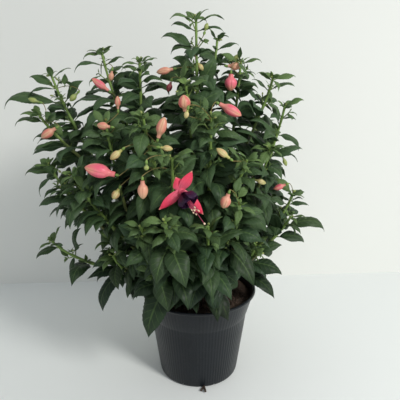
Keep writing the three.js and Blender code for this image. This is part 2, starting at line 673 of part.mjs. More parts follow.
const flower = {
  mouth: seen(FLOWER.mouth),
  facing: vec(FLOWER.facing).normalize(),
};
flower.start = flower.mouth.clone().addScaledVector(flower.facing, -FLOWER.tube);

// A sepal's half width at a share of its length: narrow where it leaves the tube, and pointed. The
// four turn their inner faces to where the flower looks and to the plant's front.
const SEPAL = [
  [0.15, 0.08],
  [0.42, 1.0],
  [0.74, 0.64],
];

function makeSepals() {
  const { mouth, facing, start } = flower;
  const open = facing.clone().add(new THREE.Vector3(0, -0.8, 0));
  const centres = [0, 0.55, 1].map((t) => along(start, mouth, t));
  const parts = [tube(centres, [2.4, FLOWER.tubeRadius, 4.4], 8)];
  for (const place of FLOWER.sepalTips) {
    const tip = seen(place);
    const root = mouth.clone().addScaledVector(facing, -3.5);
    const bend = along(root, tip, 0.45).addScaledVector(facing, 5);
    const across = tip.clone().sub(root).cross(open).normalize();
    parts.push(leafSolid({ root, bend, tip, across, width: FLOWER.sepalWidth }, SEPAL));
  }
  return wasm.Manifold.union(parts);
}

// A petal's half width at a share of its length: it widens to a broad rounded edge.
const PETAL = [
  [0.5, 0.6],
  [0.88, 1],
];

function petalRing(count, spread, turnBy) {
  const { mouth, facing } = flower;
  const petals = [];
  const sideways = facing.clone().cross(UP).normalize();
  for (let i = 0; i < count; i++) {
    const outward = sideways.clone().applyAxisAngle(facing, ((i + turnBy) / count) * 2 * Math.PI);
    const root = mouth.clone().addScaledVector(facing, 2);
    const tip = mouth.clone().addScaledVector(facing, FLOWER.skirt).addScaledVector(outward, spread);
    const bend = along(root, tip, 0.5).addScaledVector(outward, spread * 0.45);
    const width = (1.7 * Math.PI * spread) / count;
    petals.push(leafSolid({ root, bend, tip, across: facing.clone().cross(outward), width }, PETAL));
  }
  return petals;
}

function makeCorolla() {
  const { mouth, facing } = flower;
  const seat = [0.4, 3, 6].map((t) => mouth.clone().addScaledVector(facing, t));
  const outer = petalRing(FLOWER.outerPetals, FLOWER.skirtRadius, 0);
  const inner = petalRing(FLOWER.innerPetals, FLOWER.skirtRadius * 0.5, 0.5);
  return wasm.Manifold.union([tube(seat, [2.6, 3.2, 2.4], 8), ...outer, ...inner]).simplify(STEM.trim);
}

// The stamens and the longer pistil stand on a small round foot inside the corolla.
function makeStamens() {
  const { mouth, facing } = flower;
  const foot = mouth.clone().addScaledVector(facing, 6.4);
  const parts = [tube([foot, foot.clone().addScaledVector(facing, 2)], [1.5, 1.5], 6)];
  const sideways = facing.clone().cross(UP).normalize();
  const root = foot.clone().addScaledVector(facing, 1);
  for (let i = 0; i <= FLOWER.stamens; i++) {
    const pistil = i === FLOWER.stamens;
    const outward = sideways.clone().applyAxisAngle(facing, (i / FLOWER.stamens) * 2 * Math.PI);
    const reach = (pistil ? FLOWER.pistilLength : FLOWER.stamenLength + (i % 3) * 2) - 6.4;
    const end = root.clone().addScaledVector(facing, reach).addScaledVector(outward, pistil ? 0 : 4.5);
    const head = along(root, end, 1 - 2.6 / reach);
    const middle = along(head, end, 0.5);
    parts.push(tube([root, head, middle, end], [0.5, 0.5, pistil ? 1.3 : 0.9, 0.4], 3));
  }
  return wasm.Manifold.union(parts);
}

// ---------------------------------------------------------------- compost

function makeCompost() {
  const draw = drawFrom(COMPOST.seed);
  const wall = [COMPOST.floor, POT.collarHeight, COMPOST.top];
  const edge = wall.map((z) => [potRadius(z) - POT.wall - COMPOST.gap, z]);
  const surface = [0.8, 0.55, 0.28].map((share) => [edge[2][0] * share, COMPOST.top + COMPOST.dome * (1 - share)]);
  const points = [new THREE.Vector3(0, 0, COMPOST.floor)];
  const triangles = [];
  const rings = [...edge, ...surface];
  for (const [i, [radius, z]] of rings.entries()) {
    for (let k = 0; k < COMPOST.sides; k++) {
      const turn = (k / COMPOST.sides) * 2 * Math.PI;
      const grain = i >= edge.length ? (draw() - 0.5) * 2 * COMPOST.grain : 0;
      points.push(new THREE.Vector3(radius * Math.cos(turn), radius * Math.sin(turn), z + grain));
    }
  }
  points.push(new THREE.Vector3(0, 0, COMPOST.top + COMPOST.dome));
  const last = points.length - 1;
  for (let k = 0; k < COMPOST.sides; k++) {
    const next = (k + 1) % COMPOST.sides;
    triangles.push([0, 1 + next, 1 + k]);
    for (let i = 0; i + 1 < rings.length; i++) {
      const a = 1 + i * COMPOST.sides;
      const b = a + COMPOST.sides;
      triangles.push([a + k, a + next, b + next], [a + k, b + next, b + k]);
    }
    triangles.push([last, last - COMPOST.sides + k, last - COMPOST.sides + next]);
  }
  let compost = solidFrom(points, triangles);
  for (const [name, branch] of Object.entries(BRANCHES)) {
    if (branch.from) continue;
    const [foot, above] = paths[name];
    const deep = along(foot, above, -1 / foot.distanceTo(above));
    const clear = along(foot, above, (STEM.planted + 16) / foot.distanceTo(above));
    const bore = STEM.trunkRadius + 0.9;
    compost = compost.subtract(tube([deep, clear], [bore, bore], STEM.sides));
  }
  return compost;
}

// ---------------------------------------------------------------- the whole plant

const stems = {};
const addTo = (stem, solid) => {
  stems[stem] = stems[stem] ? [...stems[stem], solid] : [solid];
};

for (const [name, branch] of Object.entries(BRANCHES)) {
  addTo(branch.stem, stemTube(name));
  const path = paths[name];
  for (let i = 0; i + 1 < path.length; i++) {
    const radius = branch.from ? STEM.branchRadius : STEM.trunkRadius;
    fillLine(path[i], path[i + 1], radius * (1 - i / path.length), branch.stem);
  }
}

const buds = [];
const eye = new THREE.Vector3(0, EYE.y, EYE.z);

// No leaf hides a bud from the front: the way to it is kept clear for a hand's breadth.
function keepInView(point, girth) {
  const towards = eye.clone().sub(point).normalize();
  fillLine(point, point.clone().addScaledVector(towards, 90), girth * 0.3, 'view');
}

const budLines = Object.entries({ ...BUDS, ...YOUNG_BUDS }).map(([name, bud]) => ({
  name,
  bud,
  line: budLine(bud),
}));
for (const { name, bud, line } of budLines) fillLine(line.start, line.tip, bud.girth * 0.45, name);

const blossom = flower.mouth.clone().addScaledVector(flower.facing, FLOWER.skirt);
fillLine(flower.start, flower.mouth, 4, 'flower');
fillLine(flower.mouth, blossom, 12, 'flower');
fillLine(blossom, flower.mouth.clone().addScaledVector(flower.facing, FLOWER.pistilLength), 5, 'flower');
for (const place of FLOWER.sepalTips) {
  fillLine(flower.mouth, seen(place), 6, 'flower');
  keepInView(along(flower.mouth, seen(place), 0.6), 14);
}
keepInView(flower.mouth.clone().addScaledVector(flower.facing, 12), 24);

for (const { name, bud, line } of budLines) {
  const stem = growStalk(line, name);
  const sides = bud.colour ? (bud.girth < 9 ? 5 : 6) : 4;
  if (bud.colour) buds.push({ name, solid: budSolid(line, bud.girth, sides), colour: bud.colour });
  else {
    line.start.addScaledVector(line.direction, -1);
    addTo(stem, budSolid(line, bud.girth, sides));
  }
  keepInView(along(line.start, line.tip, 0.5), bud.girth);
}
growStalk({ start: flower.start, direction: flower.facing }, 'flower');

const taken = new Set();

function growLeaf(name, drawLine, lowest) {
  const stem = BRANCHES[name].stem;
  for (let attempt = 0; attempt < LEAF.attempts; attempt++) {
    const line = drawLine(attempt);
    const points = bladePoints(line);
    if (!points.every((p) => clearOfPot(p, lowest) && isFree(p, stem))) continue;
    for (const p of points) fill(p, 0, stem);
    addTo(stem, leafSolid(line, BLADE));
    return;
  }
}

// The leaf place whose distance to the tip suits its age best.
function placeFor(name, tipPlace) {
  let best = null;
  for (const pair of leafPairs(name)) {
    for (const side of [0, 1]) {
      if (taken.has(`${name} ${pair.index} ${side}`)) continue;
      const { point, ahead } = pathAt(paths[name], pair.share);
      const tip = seen([tipPlace[0], tipPlace[1], tipPlace[2] - point.y]);
      const reach = point.distanceTo(tip);
      const stretch = Math.abs(reach / (LEAF.length * PAIR_GROWTH[pair.index]) - 1);
      const upward = tip.clone().sub(point).dot(ahead) / reach;
      const cost = 2 * stretch + 1.4 * Math.abs(upward - 0.3 + 0.14 * pair.index);
      if (!best || cost < best.cost) best = { cost, pair, side };
    }
  }
  return best;
}

for (const [name, tips] of Object.entries(LEAF_TIPS)) {
  for (const tip of tips) {
    const found = placeFor(name, tip);
    taken.add(`${name} ${found.pair.index} ${found.side}`);
    growLeaf(name, (attempt) => aimedLeaf(name, found.pair, tip, attempt), 84);
  }
}

for (let index = 0; index < PAIR_GAP.length; index++) {
  for (const name of Object.keys(BRANCHES)) {
    const pair = leafPairs(name).find((one) => one.index === index);
    if (!pair) continue;
    for (const side of [0, 1]) {
      if (taken.has(`${name} ${index} ${side}`)) continue;
      growLeaf(name, (attempt) => grownLeaf(name, pair, side, attempt), 150);
    }
  }
}
place('pot', makePot(), COLOURS.pot, 0.45);
place('compost', makeCompost(), COLOURS.compost, 0.95);
for (const [stem, solids] of Object.entries(stems)) {
  const bodies = wasm.Manifold.union(solids).simplify(STEM.trim).decompose().sort((a, b) => b.volume() - a.volume());
  place(`stem_${stem}`, bodies[0], COLOURS.leaf);
}
for (const { name, solid, colour } of buds) place(name, solid, COLOURS[colour]);
place('flower_sepals', makeSepals(), COLOURS.coral);
place('flower_corolla', makeCorolla(), COLOURS.purple);
place('flower_stamens', makeStamens(), COLOURS.stamen);

export default plant;
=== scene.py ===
# %% [markdown]
# # A potted fuchsia
# This lesson dresses a plain solid model of a bushy fuchsia in its pot. The solids, called the
# frame, say where every stem, leaf and bud is. Each step looks at one part of the real plant, says
# how it could be made in Blender, and then makes it in place of its solid.

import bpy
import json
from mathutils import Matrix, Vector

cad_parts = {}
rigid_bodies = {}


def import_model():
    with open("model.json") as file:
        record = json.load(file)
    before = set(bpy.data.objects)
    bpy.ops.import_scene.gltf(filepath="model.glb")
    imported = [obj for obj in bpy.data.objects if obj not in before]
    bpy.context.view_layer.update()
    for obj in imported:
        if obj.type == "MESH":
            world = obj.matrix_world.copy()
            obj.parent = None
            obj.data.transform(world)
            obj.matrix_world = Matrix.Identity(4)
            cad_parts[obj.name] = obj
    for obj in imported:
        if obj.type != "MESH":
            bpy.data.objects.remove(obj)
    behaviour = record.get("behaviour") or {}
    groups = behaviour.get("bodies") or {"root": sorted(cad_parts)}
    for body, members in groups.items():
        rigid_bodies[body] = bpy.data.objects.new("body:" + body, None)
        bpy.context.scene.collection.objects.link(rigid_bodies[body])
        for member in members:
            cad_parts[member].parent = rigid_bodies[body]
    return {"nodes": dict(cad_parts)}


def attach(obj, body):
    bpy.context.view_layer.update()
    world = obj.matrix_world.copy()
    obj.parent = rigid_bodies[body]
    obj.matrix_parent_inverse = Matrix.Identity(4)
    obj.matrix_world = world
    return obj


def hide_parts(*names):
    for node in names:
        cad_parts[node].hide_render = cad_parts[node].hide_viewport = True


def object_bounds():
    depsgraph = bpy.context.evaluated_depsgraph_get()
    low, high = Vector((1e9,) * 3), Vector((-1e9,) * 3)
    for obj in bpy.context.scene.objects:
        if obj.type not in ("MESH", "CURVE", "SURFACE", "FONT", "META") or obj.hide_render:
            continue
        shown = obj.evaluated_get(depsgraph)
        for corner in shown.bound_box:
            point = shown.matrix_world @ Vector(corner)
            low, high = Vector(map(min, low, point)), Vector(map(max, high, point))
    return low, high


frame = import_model()
frame_box = [list(corner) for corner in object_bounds()]
print("frame box in metres:", frame_box)

# %% Tools
import json
import math

import bpy
import numpy as np
from mathutils import Vector
from mathutils.kdtree import KDTree

MM = 0.001
UP = np.array([0.0, 0.0, 1.0])


def vec(*numbers):
    return np.array(numbers, dtype=float)


def unit(v):
    return v / max(np.linalg.norm(v), 1e-12)


def between(a, b, share):
    return a + (b - a) * share


def turned(v, axis, angle):
    """v turned round a unit axis by an angle in radians."""
    return (
        v * math.cos(angle)
        + np.cross(axis, v) * math.sin(angle)
        + axis * np.dot(axis, v) * (1 - math.cos(angle))
    )


def thing(name, data):
    """A new object in the scene, made from its mesh, camera or lamp data."""
    made = bpy.data.objects.new(name, data)
    bpy.context.scene.collection.objects.link(made)
    return made


print("a quarter turn takes x to", turned(vec(1, 0, 0), UP, math.pi / 2).round(3))


# %% [markdown]
# ## The camera
# The picture was taken from a little above the plant, from less than a metre away. The camera could
# be set by eye, but here it comes from measured numbers: its place, its tilt, and how many pixels
# wide one metre is at one metre's distance. The same numbers then turn a pixel of the picture into
# a place on the plant, so they are kept by name.

# %% The camera, and places seen through it
EYE = {"y": -693.0, "z": 489.0, "tilt": 15.3, "focal": 450.0, "column": 198.6, "row": 200.0}
PICTURE_SIDE = 400
SENSOR = 36.0

camera_data = bpy.data.cameras.new("camera")
camera_data.sensor_width = SENSOR
camera_data.lens = SENSOR * EYE["focal"] / PICTURE_SIDE
camera_data.shift_x = (PICTURE_SIDE / 2 - EYE["column"]) / PICTURE_SIDE
camera_data.clip_start = 0.01
camera = thing("camera", camera_data)
camera.location = (0, EYE["y"] * MM, EYE["z"] * MM)
camera.rotation_euler = (math.radians(90 - EYE["tilt"]), 0, 0)
bpy.context.scene.camera = camera

EYE_POINT = vec(0, EYE["y"], EYE["z"])
TILT = math.radians(EYE["tilt"])
LOOK = vec(0, math.cos(TILT), -math.sin(TILT))
LOOK_UP = vec(0, math.sin(TILT), math.cos(TILT))


def seen(place):
    """The point in millimetres at a pixel (column, row), `front` mm in front of the pot's axis."""
    column, row, front = place
    ray = LOOK + LOOK_UP * (EYE["row"] - row) / EYE["focal"]
    ray[0] = (column - EYE["column"]) / EYE["focal"]
    return EYE_POINT + ray * ((-front - EYE["y"]) / ray[1])


def pixels_of(points):
    """The columns and rows where the camera sees points in millimetres."""
    away = np.asarray(points) - EYE_POINT
    depth = away @ LOOK
    columns = EYE["column"] + EYE["focal"] * away[..., 0] / depth
    rows = EYE["row"] - EYE["focal"] * (away @ LOOK_UP) / depth
    return columns, rows


print("lens in mm:", camera_data.lens)


# %% [markdown]
# ## Shader tools
# Every finish is made of nodes. A node can be made by hand in the editor, but a lesson in code is
# easier to read with one short helper that makes a node, sets its values and links its inputs. A
# second helper makes a node group with named sockets, for effects that several finishes share.

# %% Helpers for nodes
def add_node(tree, kind, inputs=None, **settings):
    """A new shader node. Each input is a value, or the socket that feeds it."""
    made = tree.nodes.new("ShaderNode" + kind)
    for name, value in settings.items():
        setattr(made, name, value)
    for name, value in (inputs or {}).items():
        if isinstance(value, bpy.types.NodeSocket):
            tree.links.new(value, made.inputs[name])
        else:
            made.inputs[name].default_value = value
    return made


def maths(tree, operation, a, b=0.0, c=0.0, clamp=False):
    return add_node(tree, "Math", {0: a, 1: b, 2: c}, operation=operation, use_clamp=clamp).outputs[0]


def smooth_step(tree, value, low, high):
    """0 below `low` and 1 above `high`, with a soft change between them."""
    inputs = {"Value": value, "From Min": low, "From Max": high}
    return add_node(tree, "MapRange", inputs, interpolation_type="SMOOTHSTEP").outputs["Result"]


def mix_colours(tree, share, a, b):
    made = add_node(tree, "Mix", data_type="RGBA")
    for socket, value in ((0, share), (6, a), (7, b)):
        if isinstance(value, bpy.types.NodeSocket):
            tree.links.new(value, made.inputs[socket])
        else:
            made.inputs[socket].default_value = value
    return made.outputs[2]


def colour(hex_code):
    """A colour for a shader from its six-digit code, as a picture shows it."""
    parts = [int(hex_code[i : i + 2], 16) / 255 for i in (0, 2, 4)]
    return tuple(c / 12.92 if c <= 0.04045 else ((c + 0.055) / 1.055) ** 2.4 for c in parts) + (1.0,)


print("a middle grey in shader numbers:", round(colour("808080")[0], 3))


# %% Helpers for groups and materials
def new_group(name, inputs, outputs):
    """An empty node group of number sockets: inputs is {name: value}, outputs is a list of names."""
    tree = bpy.data.node_groups.new(name, "ShaderNodeTree")
    for socket, value in inputs.items():
        made = tree.interface.new_socket(socket, in_out="INPUT", socket_type="NodeSocketFloat")
        made.default_value = value
    for socket in outputs:
        tree.interface.new_socket(socket, in_out="OUTPUT", socket_type="NodeSocketFloat")
    return tree, tree.nodes.new("NodeGroupInput"), tree.nodes.new("NodeGroupOutput")


def use_group(tree, group, inputs=None):
    return add_node(tree, "Group", inputs, node_tree=group)


def new_material(name, **fixed):
    """A material with one Principled shader, and the sockets that are the same all over it."""
    material = bpy.data.materials.new(name)
    material.use_nodes = True
    tree = material.node_tree
    shader = tree.nodes["Principled BSDF"]
    for socket, value in fixed.items():
        shader.inputs[socket.replace("_", " ")].default_value = value
    return material, tree, shader


def bump(tree, shader, height, distance, strength):
    """Lets a height from 0 to 1 shade the surface as if it were `distance` metres deep."""
    inputs = {"Height": height, "Distance": distance, "Strength": strength}
    made = add_node(tree, "Bump", inputs)
    tree.links.new(made.outputs["Normal"], shader.inputs["Normal"])


# %% [markdown]
# Nothing that grows, and no plastic that has stood outdoors, has one even colour. Two effects come
# back in several finishes here, soft patches and a fine grain, and a third draws a blade's veins.
# Painted pictures could show them, but what is worked out in space needs no picture and no unwrapping.

# %% Shared effects: patches and grain
patches, ins, outs = new_group("patches", {"Size mm": 20.0, "Contrast": 1.0}, ["Patch"])
where = add_node(patches, "TexCoord").outputs["Object"]
scale = maths(patches, "DIVIDE", 1000.0, ins.outputs["Size mm"])
cloudy = {"Vector": where, "Scale": scale, "Detail": 4.0, "Roughness": 0.6}
noise = add_node(patches, "TexNoise", cloudy).outputs[0]
spread = maths(patches, "MULTIPLY", maths(patches, "SUBTRACT", noise, 0.5), ins.outputs["Contrast"])
patches.links.new(maths(patches, "ADD", spread, 0.5, clamp=True), outs.inputs["Patch"])

grain, ins, outs = new_group("grain", {"Size mm": 0.6}, ["Height"])
where = add_node(grain, "TexCoord").outputs["Object"]
scale = maths(grain, "DIVIDE", 1000.0, ins.outputs["Size mm"])
cells = add_node(grain, "TexVoronoi", {"Vector": where, "Scale": scale}, feature="SMOOTH_F1")
grain.links.new(cells.outputs["Distance"], outs.inputs["Height"])

print("made the effects", patches.name, "and", grain.name)

# %% [markdown]
# The veins follow the `blade` numbers of each point, which say how far along and across the leaf it
# lies. The midrib is where the distance across is near nothing. The side veins repeat along the
# leaf, and run forward on their way out because the distance across is taken off first.

# %% Shared effect: veins
veins, ins, outs = new_group("veins", {"Pairs": 8.0, "Slant": 0.2}, ["Midrib", "Veins", "Cushion"])
blade = add_node(veins, "Attribute", attribute_name="blade").outputs["Vector"]
split = add_node(veins, "SeparateXYZ", {"Vector": blade})
along, across = split.outputs["X"], maths(veins, "ABSOLUTE", split.outputs["Y"])
midrib = maths(veins, "SUBTRACT", 1.0, smooth_step(veins, across, 0.02, 0.10), clamp=True)
run = maths(veins, "SUBTRACT", along, maths(veins, "MULTIPLY", across, ins.outputs["Slant"]))
wave = maths(veins, "PINGPONG", maths(veins, "MULTIPLY", run, ins.outputs["Pairs"]), 0.5)
side_vein = maths(veins, "SUBTRACT", 1.0, smooth_step(veins, wave, 0.01, 0.09), clamp=True)
fading = maths(veins, "SUBTRACT", 1.0, smooth_step(veins, across, 0.55, 1.0), clamp=True)
veins.links.new(midrib, outs.inputs["Midrib"])
veins.links.new(maths(veins, "MULTIPLY", side_vein, fading), outs.inputs["Veins"])
veins.links.new(smooth_step(veins, wave, 0.0, 0.5), outs.inputs["Cushion"])
print("shared effects:", [group.name for group in bpy.data.node_groups])


# %% [markdown]
# ## Gathering a mesh
# One stem of this plant carries more than a hundred leaves, large and small. As many objects would be
# slow to handle, so every leaf is worked out as arrays of points and faces, and a whole stem's worth
# becomes one mesh. Two vectors travel with each point for the finish: `blade` holds how far along and
# across the blade it is and whether it is underneath, and `growth` holds the leaf's tone, which is
# partly its own and mostly set by height to paint shade on the low leaves, its youth and its coolness.

# %% A collector of points and faces
class Gathered:
    """The points (mm), faces and finish vectors of one piece, gathered bit by bit."""

    def __init__(self):
        self.points, self.faces, self.blade, self.growth = [], [], [], []
        self.count = 0

    def add(self, points, faces, blade=(0, 0, 0), growth=(0, 0, 0)):
        points = np.asarray(points, dtype=float).reshape(-1, 3)
        self.faces.extend([tuple(int(i) + self.count for i in face) for face in faces])
        self.points.append(points)
        self.blade.append(np.broadcast_to(blade, points.shape))
        self.growth.append(np.broadcast_to(growth, points.shape))
        self.count += len(points)

    def make(self, name, material, sharp=60):
        mesh = bpy.data.meshes.new(name)
        points = np.concatenate(self.points) * MM
        mesh.from_pydata(points.tolist(), [], self.faces)
        for label, rows in (("blade", self.blade), ("growth", self.growth)):
            layer = mesh.attributes.new(label, "FLOAT_VECTOR", "POINT")
            layer.data.foreach_set("vector", np.concatenate(rows).astype(np.float32).ravel())
        mesh.shade_smooth()
        mesh.set_sharp_from_angle(angle=math.radians(sharp))
        mesh.materials.append(material)
        return thing(name, mesh)


def finish_piece(piece, slot, *nodes):
    """The piece rides on the one body and stands for its solid. Its slot is not used."""
    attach(piece, "root")
    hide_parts(*nodes)


# %% [markdown]
# Stems, stalks, buds and stamens are all round in section, so one helper that threads rings on a
# line makes them all. Blender's curves with a bevel could do the same, but rings in code can change
# their radius freely, and they carry the finish vectors.

# %% Rings threaded on a line
def cross_frames(centres):
    """Two unit vectors across the line at each centre, turning as little as possible."""
    ahead = np.gradient(centres, axis=0)
    first = vec(1, 0, 0) if abs(unit(ahead[0])[0]) < 0.9 else vec(0, 1, 0)
    frames = []
    for step in ahead:
        step = unit(step)
        first = unit(first - step * np.dot(first, step))
        frames.append((first, np.cross(step, first)))
    return frames


def turns_round(sides):
    """The angles of evenly spaced points round a circle."""
    return np.arange(sides) / sides * 2 * math.pi


def band_faces(rings, sides):
    """The four-sided faces between closed rings of points."""
    faces = []
    for first in range(0, (rings - 1) * sides, sides):
        for k in range(sides):
            a, b = first + k, first + (k + 1) % sides
            faces.append((a, b, b + sides, a + sides))
    return faces


def end_faces(rings, sides):
    """The faces that close the first and the last ring."""
    last = (rings - 1) * sides
    return [tuple(reversed(range(sides))), tuple(range(last, last + sides))]


def threaded(centres, radii, sides):
    """Points and faces of a closed round body whose rings sit on a line."""
    turns = turns_round(sides)
    rings = [
        centre + radius * (np.outer(np.cos(turns), a) + np.outer(np.sin(turns), b))
        for centre, radius, (a, b) in zip(centres, radii, cross_frames(centres))
    ]
    return np.concatenate(rings), band_faces(len(rings), sides) + end_faces(len(rings), sides)


print("faces of a four-sided bar:", len(threaded(np.array([0 * UP, UP]), [1, 1], 4)[1]))


# %% [markdown]
# ## The plant's plan
# The solid model was grown by rules from a short plan: where each shoot starts and ends, where the
# leaves of the outline have their tips, and where each bud hangs. Places are written as a pixel of
# the picture with a distance in front of the pot's axis. The same plan is written out here, so that
# the finer plant grows on the same lines as the solid one.

# %% The shoots
BRANCHES = {
    "crown": {"stem": "crown", "pairs": 5, "tip": (196, 17, 10), "root": (4, 6)},
    "crown_right": {"stem": "crown", "pairs": 3, "from": ("crown", 0.5), "tip": (217.5, 38, -40)},
    "crown_front": {"stem": "crown", "pairs": 3, "from": ("crown", 0.34), "tip": (186, 84, 70)},
    "right_top": {"stem": "right_top", "tip": (241, 62, -15), "root": (16, 12)},
    "right_high": {"stem": "right_top", "pairs": 3, "from": ("right_top", 0.45), "tip": (273, 78, 0)},
    "right_side": {"stem": "right_side", "tip": (285, 106, 22), "root": (24, 2)},
    "right_mid": {"stem": "right_side", "pairs": 3, "from": ("right_side", 0.45), "tip": (270, 148, 60)},
    "right_low": {"stem": "right_low", "tip": (293, 194, 20), "root": (36, -4)},
    "right_reach": {"stem": "right_low", "pairs": 3, "from": ("right_low", 0.35), "tip": (291, 216, 30)},
    "right_skirt": {"stem": "right_low", "from": ("right_low", 0.25), "tip": (256, 245, 60)},
    "left_top": {"stem": "left_top", "tip": (101.5, 52, 0), "root": (-12, 12)},
    "left_inner": {"stem": "left_top", "pairs": 3, "from": ("left_top", 0.5), "tip": (139.5, 62, 20)},
    "left_high": {"stem": "left_high", "tip": (51.6, 76, 0), "root": (-24, 4)},
    "left_side": {"stem": "left_high", "from": ("left_high", 0.55), "tip": (37.5, 112, 30)},
    "left_mid": {"stem": "left_mid", "tip": (48, 164, 40), "root": (-34, -4)},
    "left_drip": {"stem": "left_mid", "pairs": 3, "from": ("left_mid", 0.45), "tip": (66, 188, 60)},
    "left_low": {"stem": "left_low", "tip": (52, 241, 20), "root": (-44, 6)},
    "left_skirt": {"stem": "left_low", "from": ("left_low", 0.3), "tip": (112, 240, 80)},
    "front_left": {"stem": "front_left", "pairs": 5, "tip": (72.7, 174, 95), "root": (-22, -18)},
    "front_left_high": {
        "stem": "front_left", "pairs": 3, "from": ("front_left", 0.4), "tip": (105, 122, 85),
    },
    "front_mid": {"stem": "front_mid", "pairs": 5, "tip": (143, 117, 110), "root": (-8, -14)},
    "front_flower": {"stem": "front_mid", "pairs": 3, "from": ("front_mid", 0.4), "tip": (172, 158, 135)},
    "front_low": {"stem": "front_low", "pairs": 5, "tip": (165, 222, 165), "root": (-10, -34)},
    "front_skirt": {"stem": "front_low", "pairs": 5, "from": ("front_low", 0.25), "tip": (140, 226, 140)},
    "front_right": {"stem": "front_right", "pairs": 5, "tip": (211.5, 118, 95), "root": (8, -14)},
    "front_right_low": {
        "stem": "front_right", "pairs": 3, "from": ("front_right", 0.4), "tip": (247, 160, 100),
    },
    "front_skirt_right": {"stem": "front_right_low", "pairs": 6, "tip": (208, 226, 150), "root": (14, -32)},
    "front_side_right": {
        "stem": "front_right_low", "from": ("front_skirt_right", 0.3), "tip": (240, 205, 120),
    },
    "front_drape": {"stem": "front_low", "pairs": 3, "from": ("front_low", 0.2), "tip": (152, 268, 125)},
    "left_drape": {"stem": "left_low", "pairs": 3, "from": ("left_low", 0.25), "tip": (113, 256, 85)},
    "back_left": {"stem": "back_left", "at": (-125, 85, 425), "root": (-16, 26)},
    "back_left_low": {"stem": "back_left", "pairs": 3, "from": ("back_left", 0.3), "at": (-150, 130, 290)},
    "back_mid": {"stem": "back_mid", "at": (-15, 105, 455), "root": (0, 24)},
    "back_low": {"stem": "back_mid", "pairs": 3, "from": ("back_mid", 0.3), "at": (10, 180, 300)},
    "back_right": {"stem": "back_right", "at": (105, 95, 415), "root": (18, 28)},
    "back_right_low": {
        "stem": "back_right", "pairs": 3, "from": ("back_right", 0.3), "at": (140, 120, 275),
    },
    "back_left_mid": {"stem": "back_left", "pairs": 3, "from": ("back_left", 0.45), "at": (-70, 150, 370)},
    "back_left_skirt": {
        "stem": "back_left", "pairs": 3, "from": ("back_left", 0.15), "at": (-80, 155, 225),
    },
    "back_right_mid": {
        "stem": "back_right", "pairs": 3, "from": ("back_right", 0.45), "at": (60, 160, 365),
    },
    "back_right_skirt": {
        "stem": "back_right", "pairs": 3, "from": ("back_right", 0.15), "at": (75, 150, 220),
    },
}
NUMBER = {name: i for i, name in enumerate(BRANCHES)}
STEMS = list(dict.fromkeys(branch["stem"] for branch in BRANCHES.values()))
print(len(BRANCHES), "shoots on", len(STEMS), "stems")

# %% The leaves of the outline and the front, by the pixel of each tip
# A fourth number says how many times wider the leaf is than its solid.
LEAF_TIPS = {
    "crown": [
        (171, 25, 5), (213, 24, -5), (161, 36, 0), (170, 53, 5), (224, 31, 0), (176, 60, 15), (217, 55, 5),
    ],
    "crown_right": [(239, 44, 0), (214, 48, 20), (236, 57, 5)],
    "crown_front": [(165, 101, 15), (206, 101, 15), (171, 127, 15)],
    "right_top": [(262, 62, 0), (256, 74, 10), (220, 72, 20)],
    "right_high": [(295, 85, 0), (252, 79, 0), (279, 91, 20), (246, 90, 10), (296, 76, -10)],
    "right_side": [(300, 150, 0), (296, 119, 10), (270, 118, 20), (304, 100, 0)],
    "right_mid": [(299, 153, 5), (294, 169, 10), (259, 168, 20), (250, 150, 10)],
    "right_low": [(302, 190, 10), (309, 205, 0), (268, 200, 25), (282, 176, 5)],
    "right_reach": [(325, 231, 0), (307, 219, 10), (299, 222, 20)],
    "right_skirt": [(282, 245, 0), (283, 274, 10, 1.2), (267, 279, 15, 1.2), (242, 262, 15, 1.3)],
    "left_top": [(83, 59, 0), (124, 57, 5), (74, 72, 10), (130, 74, 15), (90, 92, 15)],
    "left_inner": [(151, 57, 0), (121, 66, 10), (174, 67, 10), (135, 90, 20)],
    "left_high": [(29, 76, 0), (71, 68, 0), (27, 100, 10), (88, 88, 15), (3, 107, 0)],
    "left_side": [(14, 125, 0), (30, 104, 0), (58, 122, 12), (32, 140, 10)],
    "left_mid": [(24, 174, 0), (39, 196, 10), (32, 167, 15), (66, 160, 15)],
    "left_drip": [(38, 206, 0), (56, 217, 5), (48, 208, 10), (64, 229, 12)],
    "left_low": [(35, 258, 0), (60, 226, 0), (70, 278, 10), (79, 228, 15)],
    "left_skirt": [(123, 274, 25, 1.3), (92, 268, 10), (100, 214, 15)],
    "left_drape": [(102, 312, 10), (118, 290, 20, 1.3)],
    "front_left": [(60, 186, 0), (84, 190, 15), (83, 155, 5), (104, 207, 25, 1.2)],
    "front_left_high": [(92, 112, 0), (120, 139, 15), (80, 138, 10), (128, 164, 30)],
    "front_mid": [(146, 161, 25, 1.2), (129, 112, 0), (158, 118, 0), (118, 172, 20), (165, 140, 5)],
    "front_flower": [(194, 152, 5), (157, 166, 5), (146, 214, 25, 1.3)],
    "front_low": [
        (159, 238, 0), (199, 243, 5, 1.3), (178, 252, 25, 1.3), (143, 222, 0), (186, 288, 30, 1.4),
        (160, 282, 30, 1.4),
    ],
    "front_skirt": [(122, 240, 0), (150, 267, 15, 1.3), (175, 304, 30, 1.4), (135, 292, 20, 1.3)],
    "front_drape": [(148, 338, 15, 1.5), (132, 300, 10, 1.3), (168, 312, 20, 1.3)],
    "front_right": [(196, 132, 5, 1.2), (228, 118, 0), (242, 139, 10), (215, 158, 25, 1.3), (200, 172, 20)],
    "front_right_low": [(262, 178, 5), (238, 172, 10), (258, 152, 0), (240, 196, 25, 1.3)],
    "front_skirt_right": [
        (201, 249, 0, 1.3), (229, 271, 10, 1.3), (227, 323, 20, 1.4), (190, 310, 25, 1.4), (222, 236, 0),
    ],
    "front_side_right": [(256, 215, 5), (236, 226, 15), (262, 242, 10, 1.4), (254, 286, 30, 1.2)],
}  # fmt: skip
print("leaves of the outline and the front:", sum(map(len, LEAF_TIPS.values())))

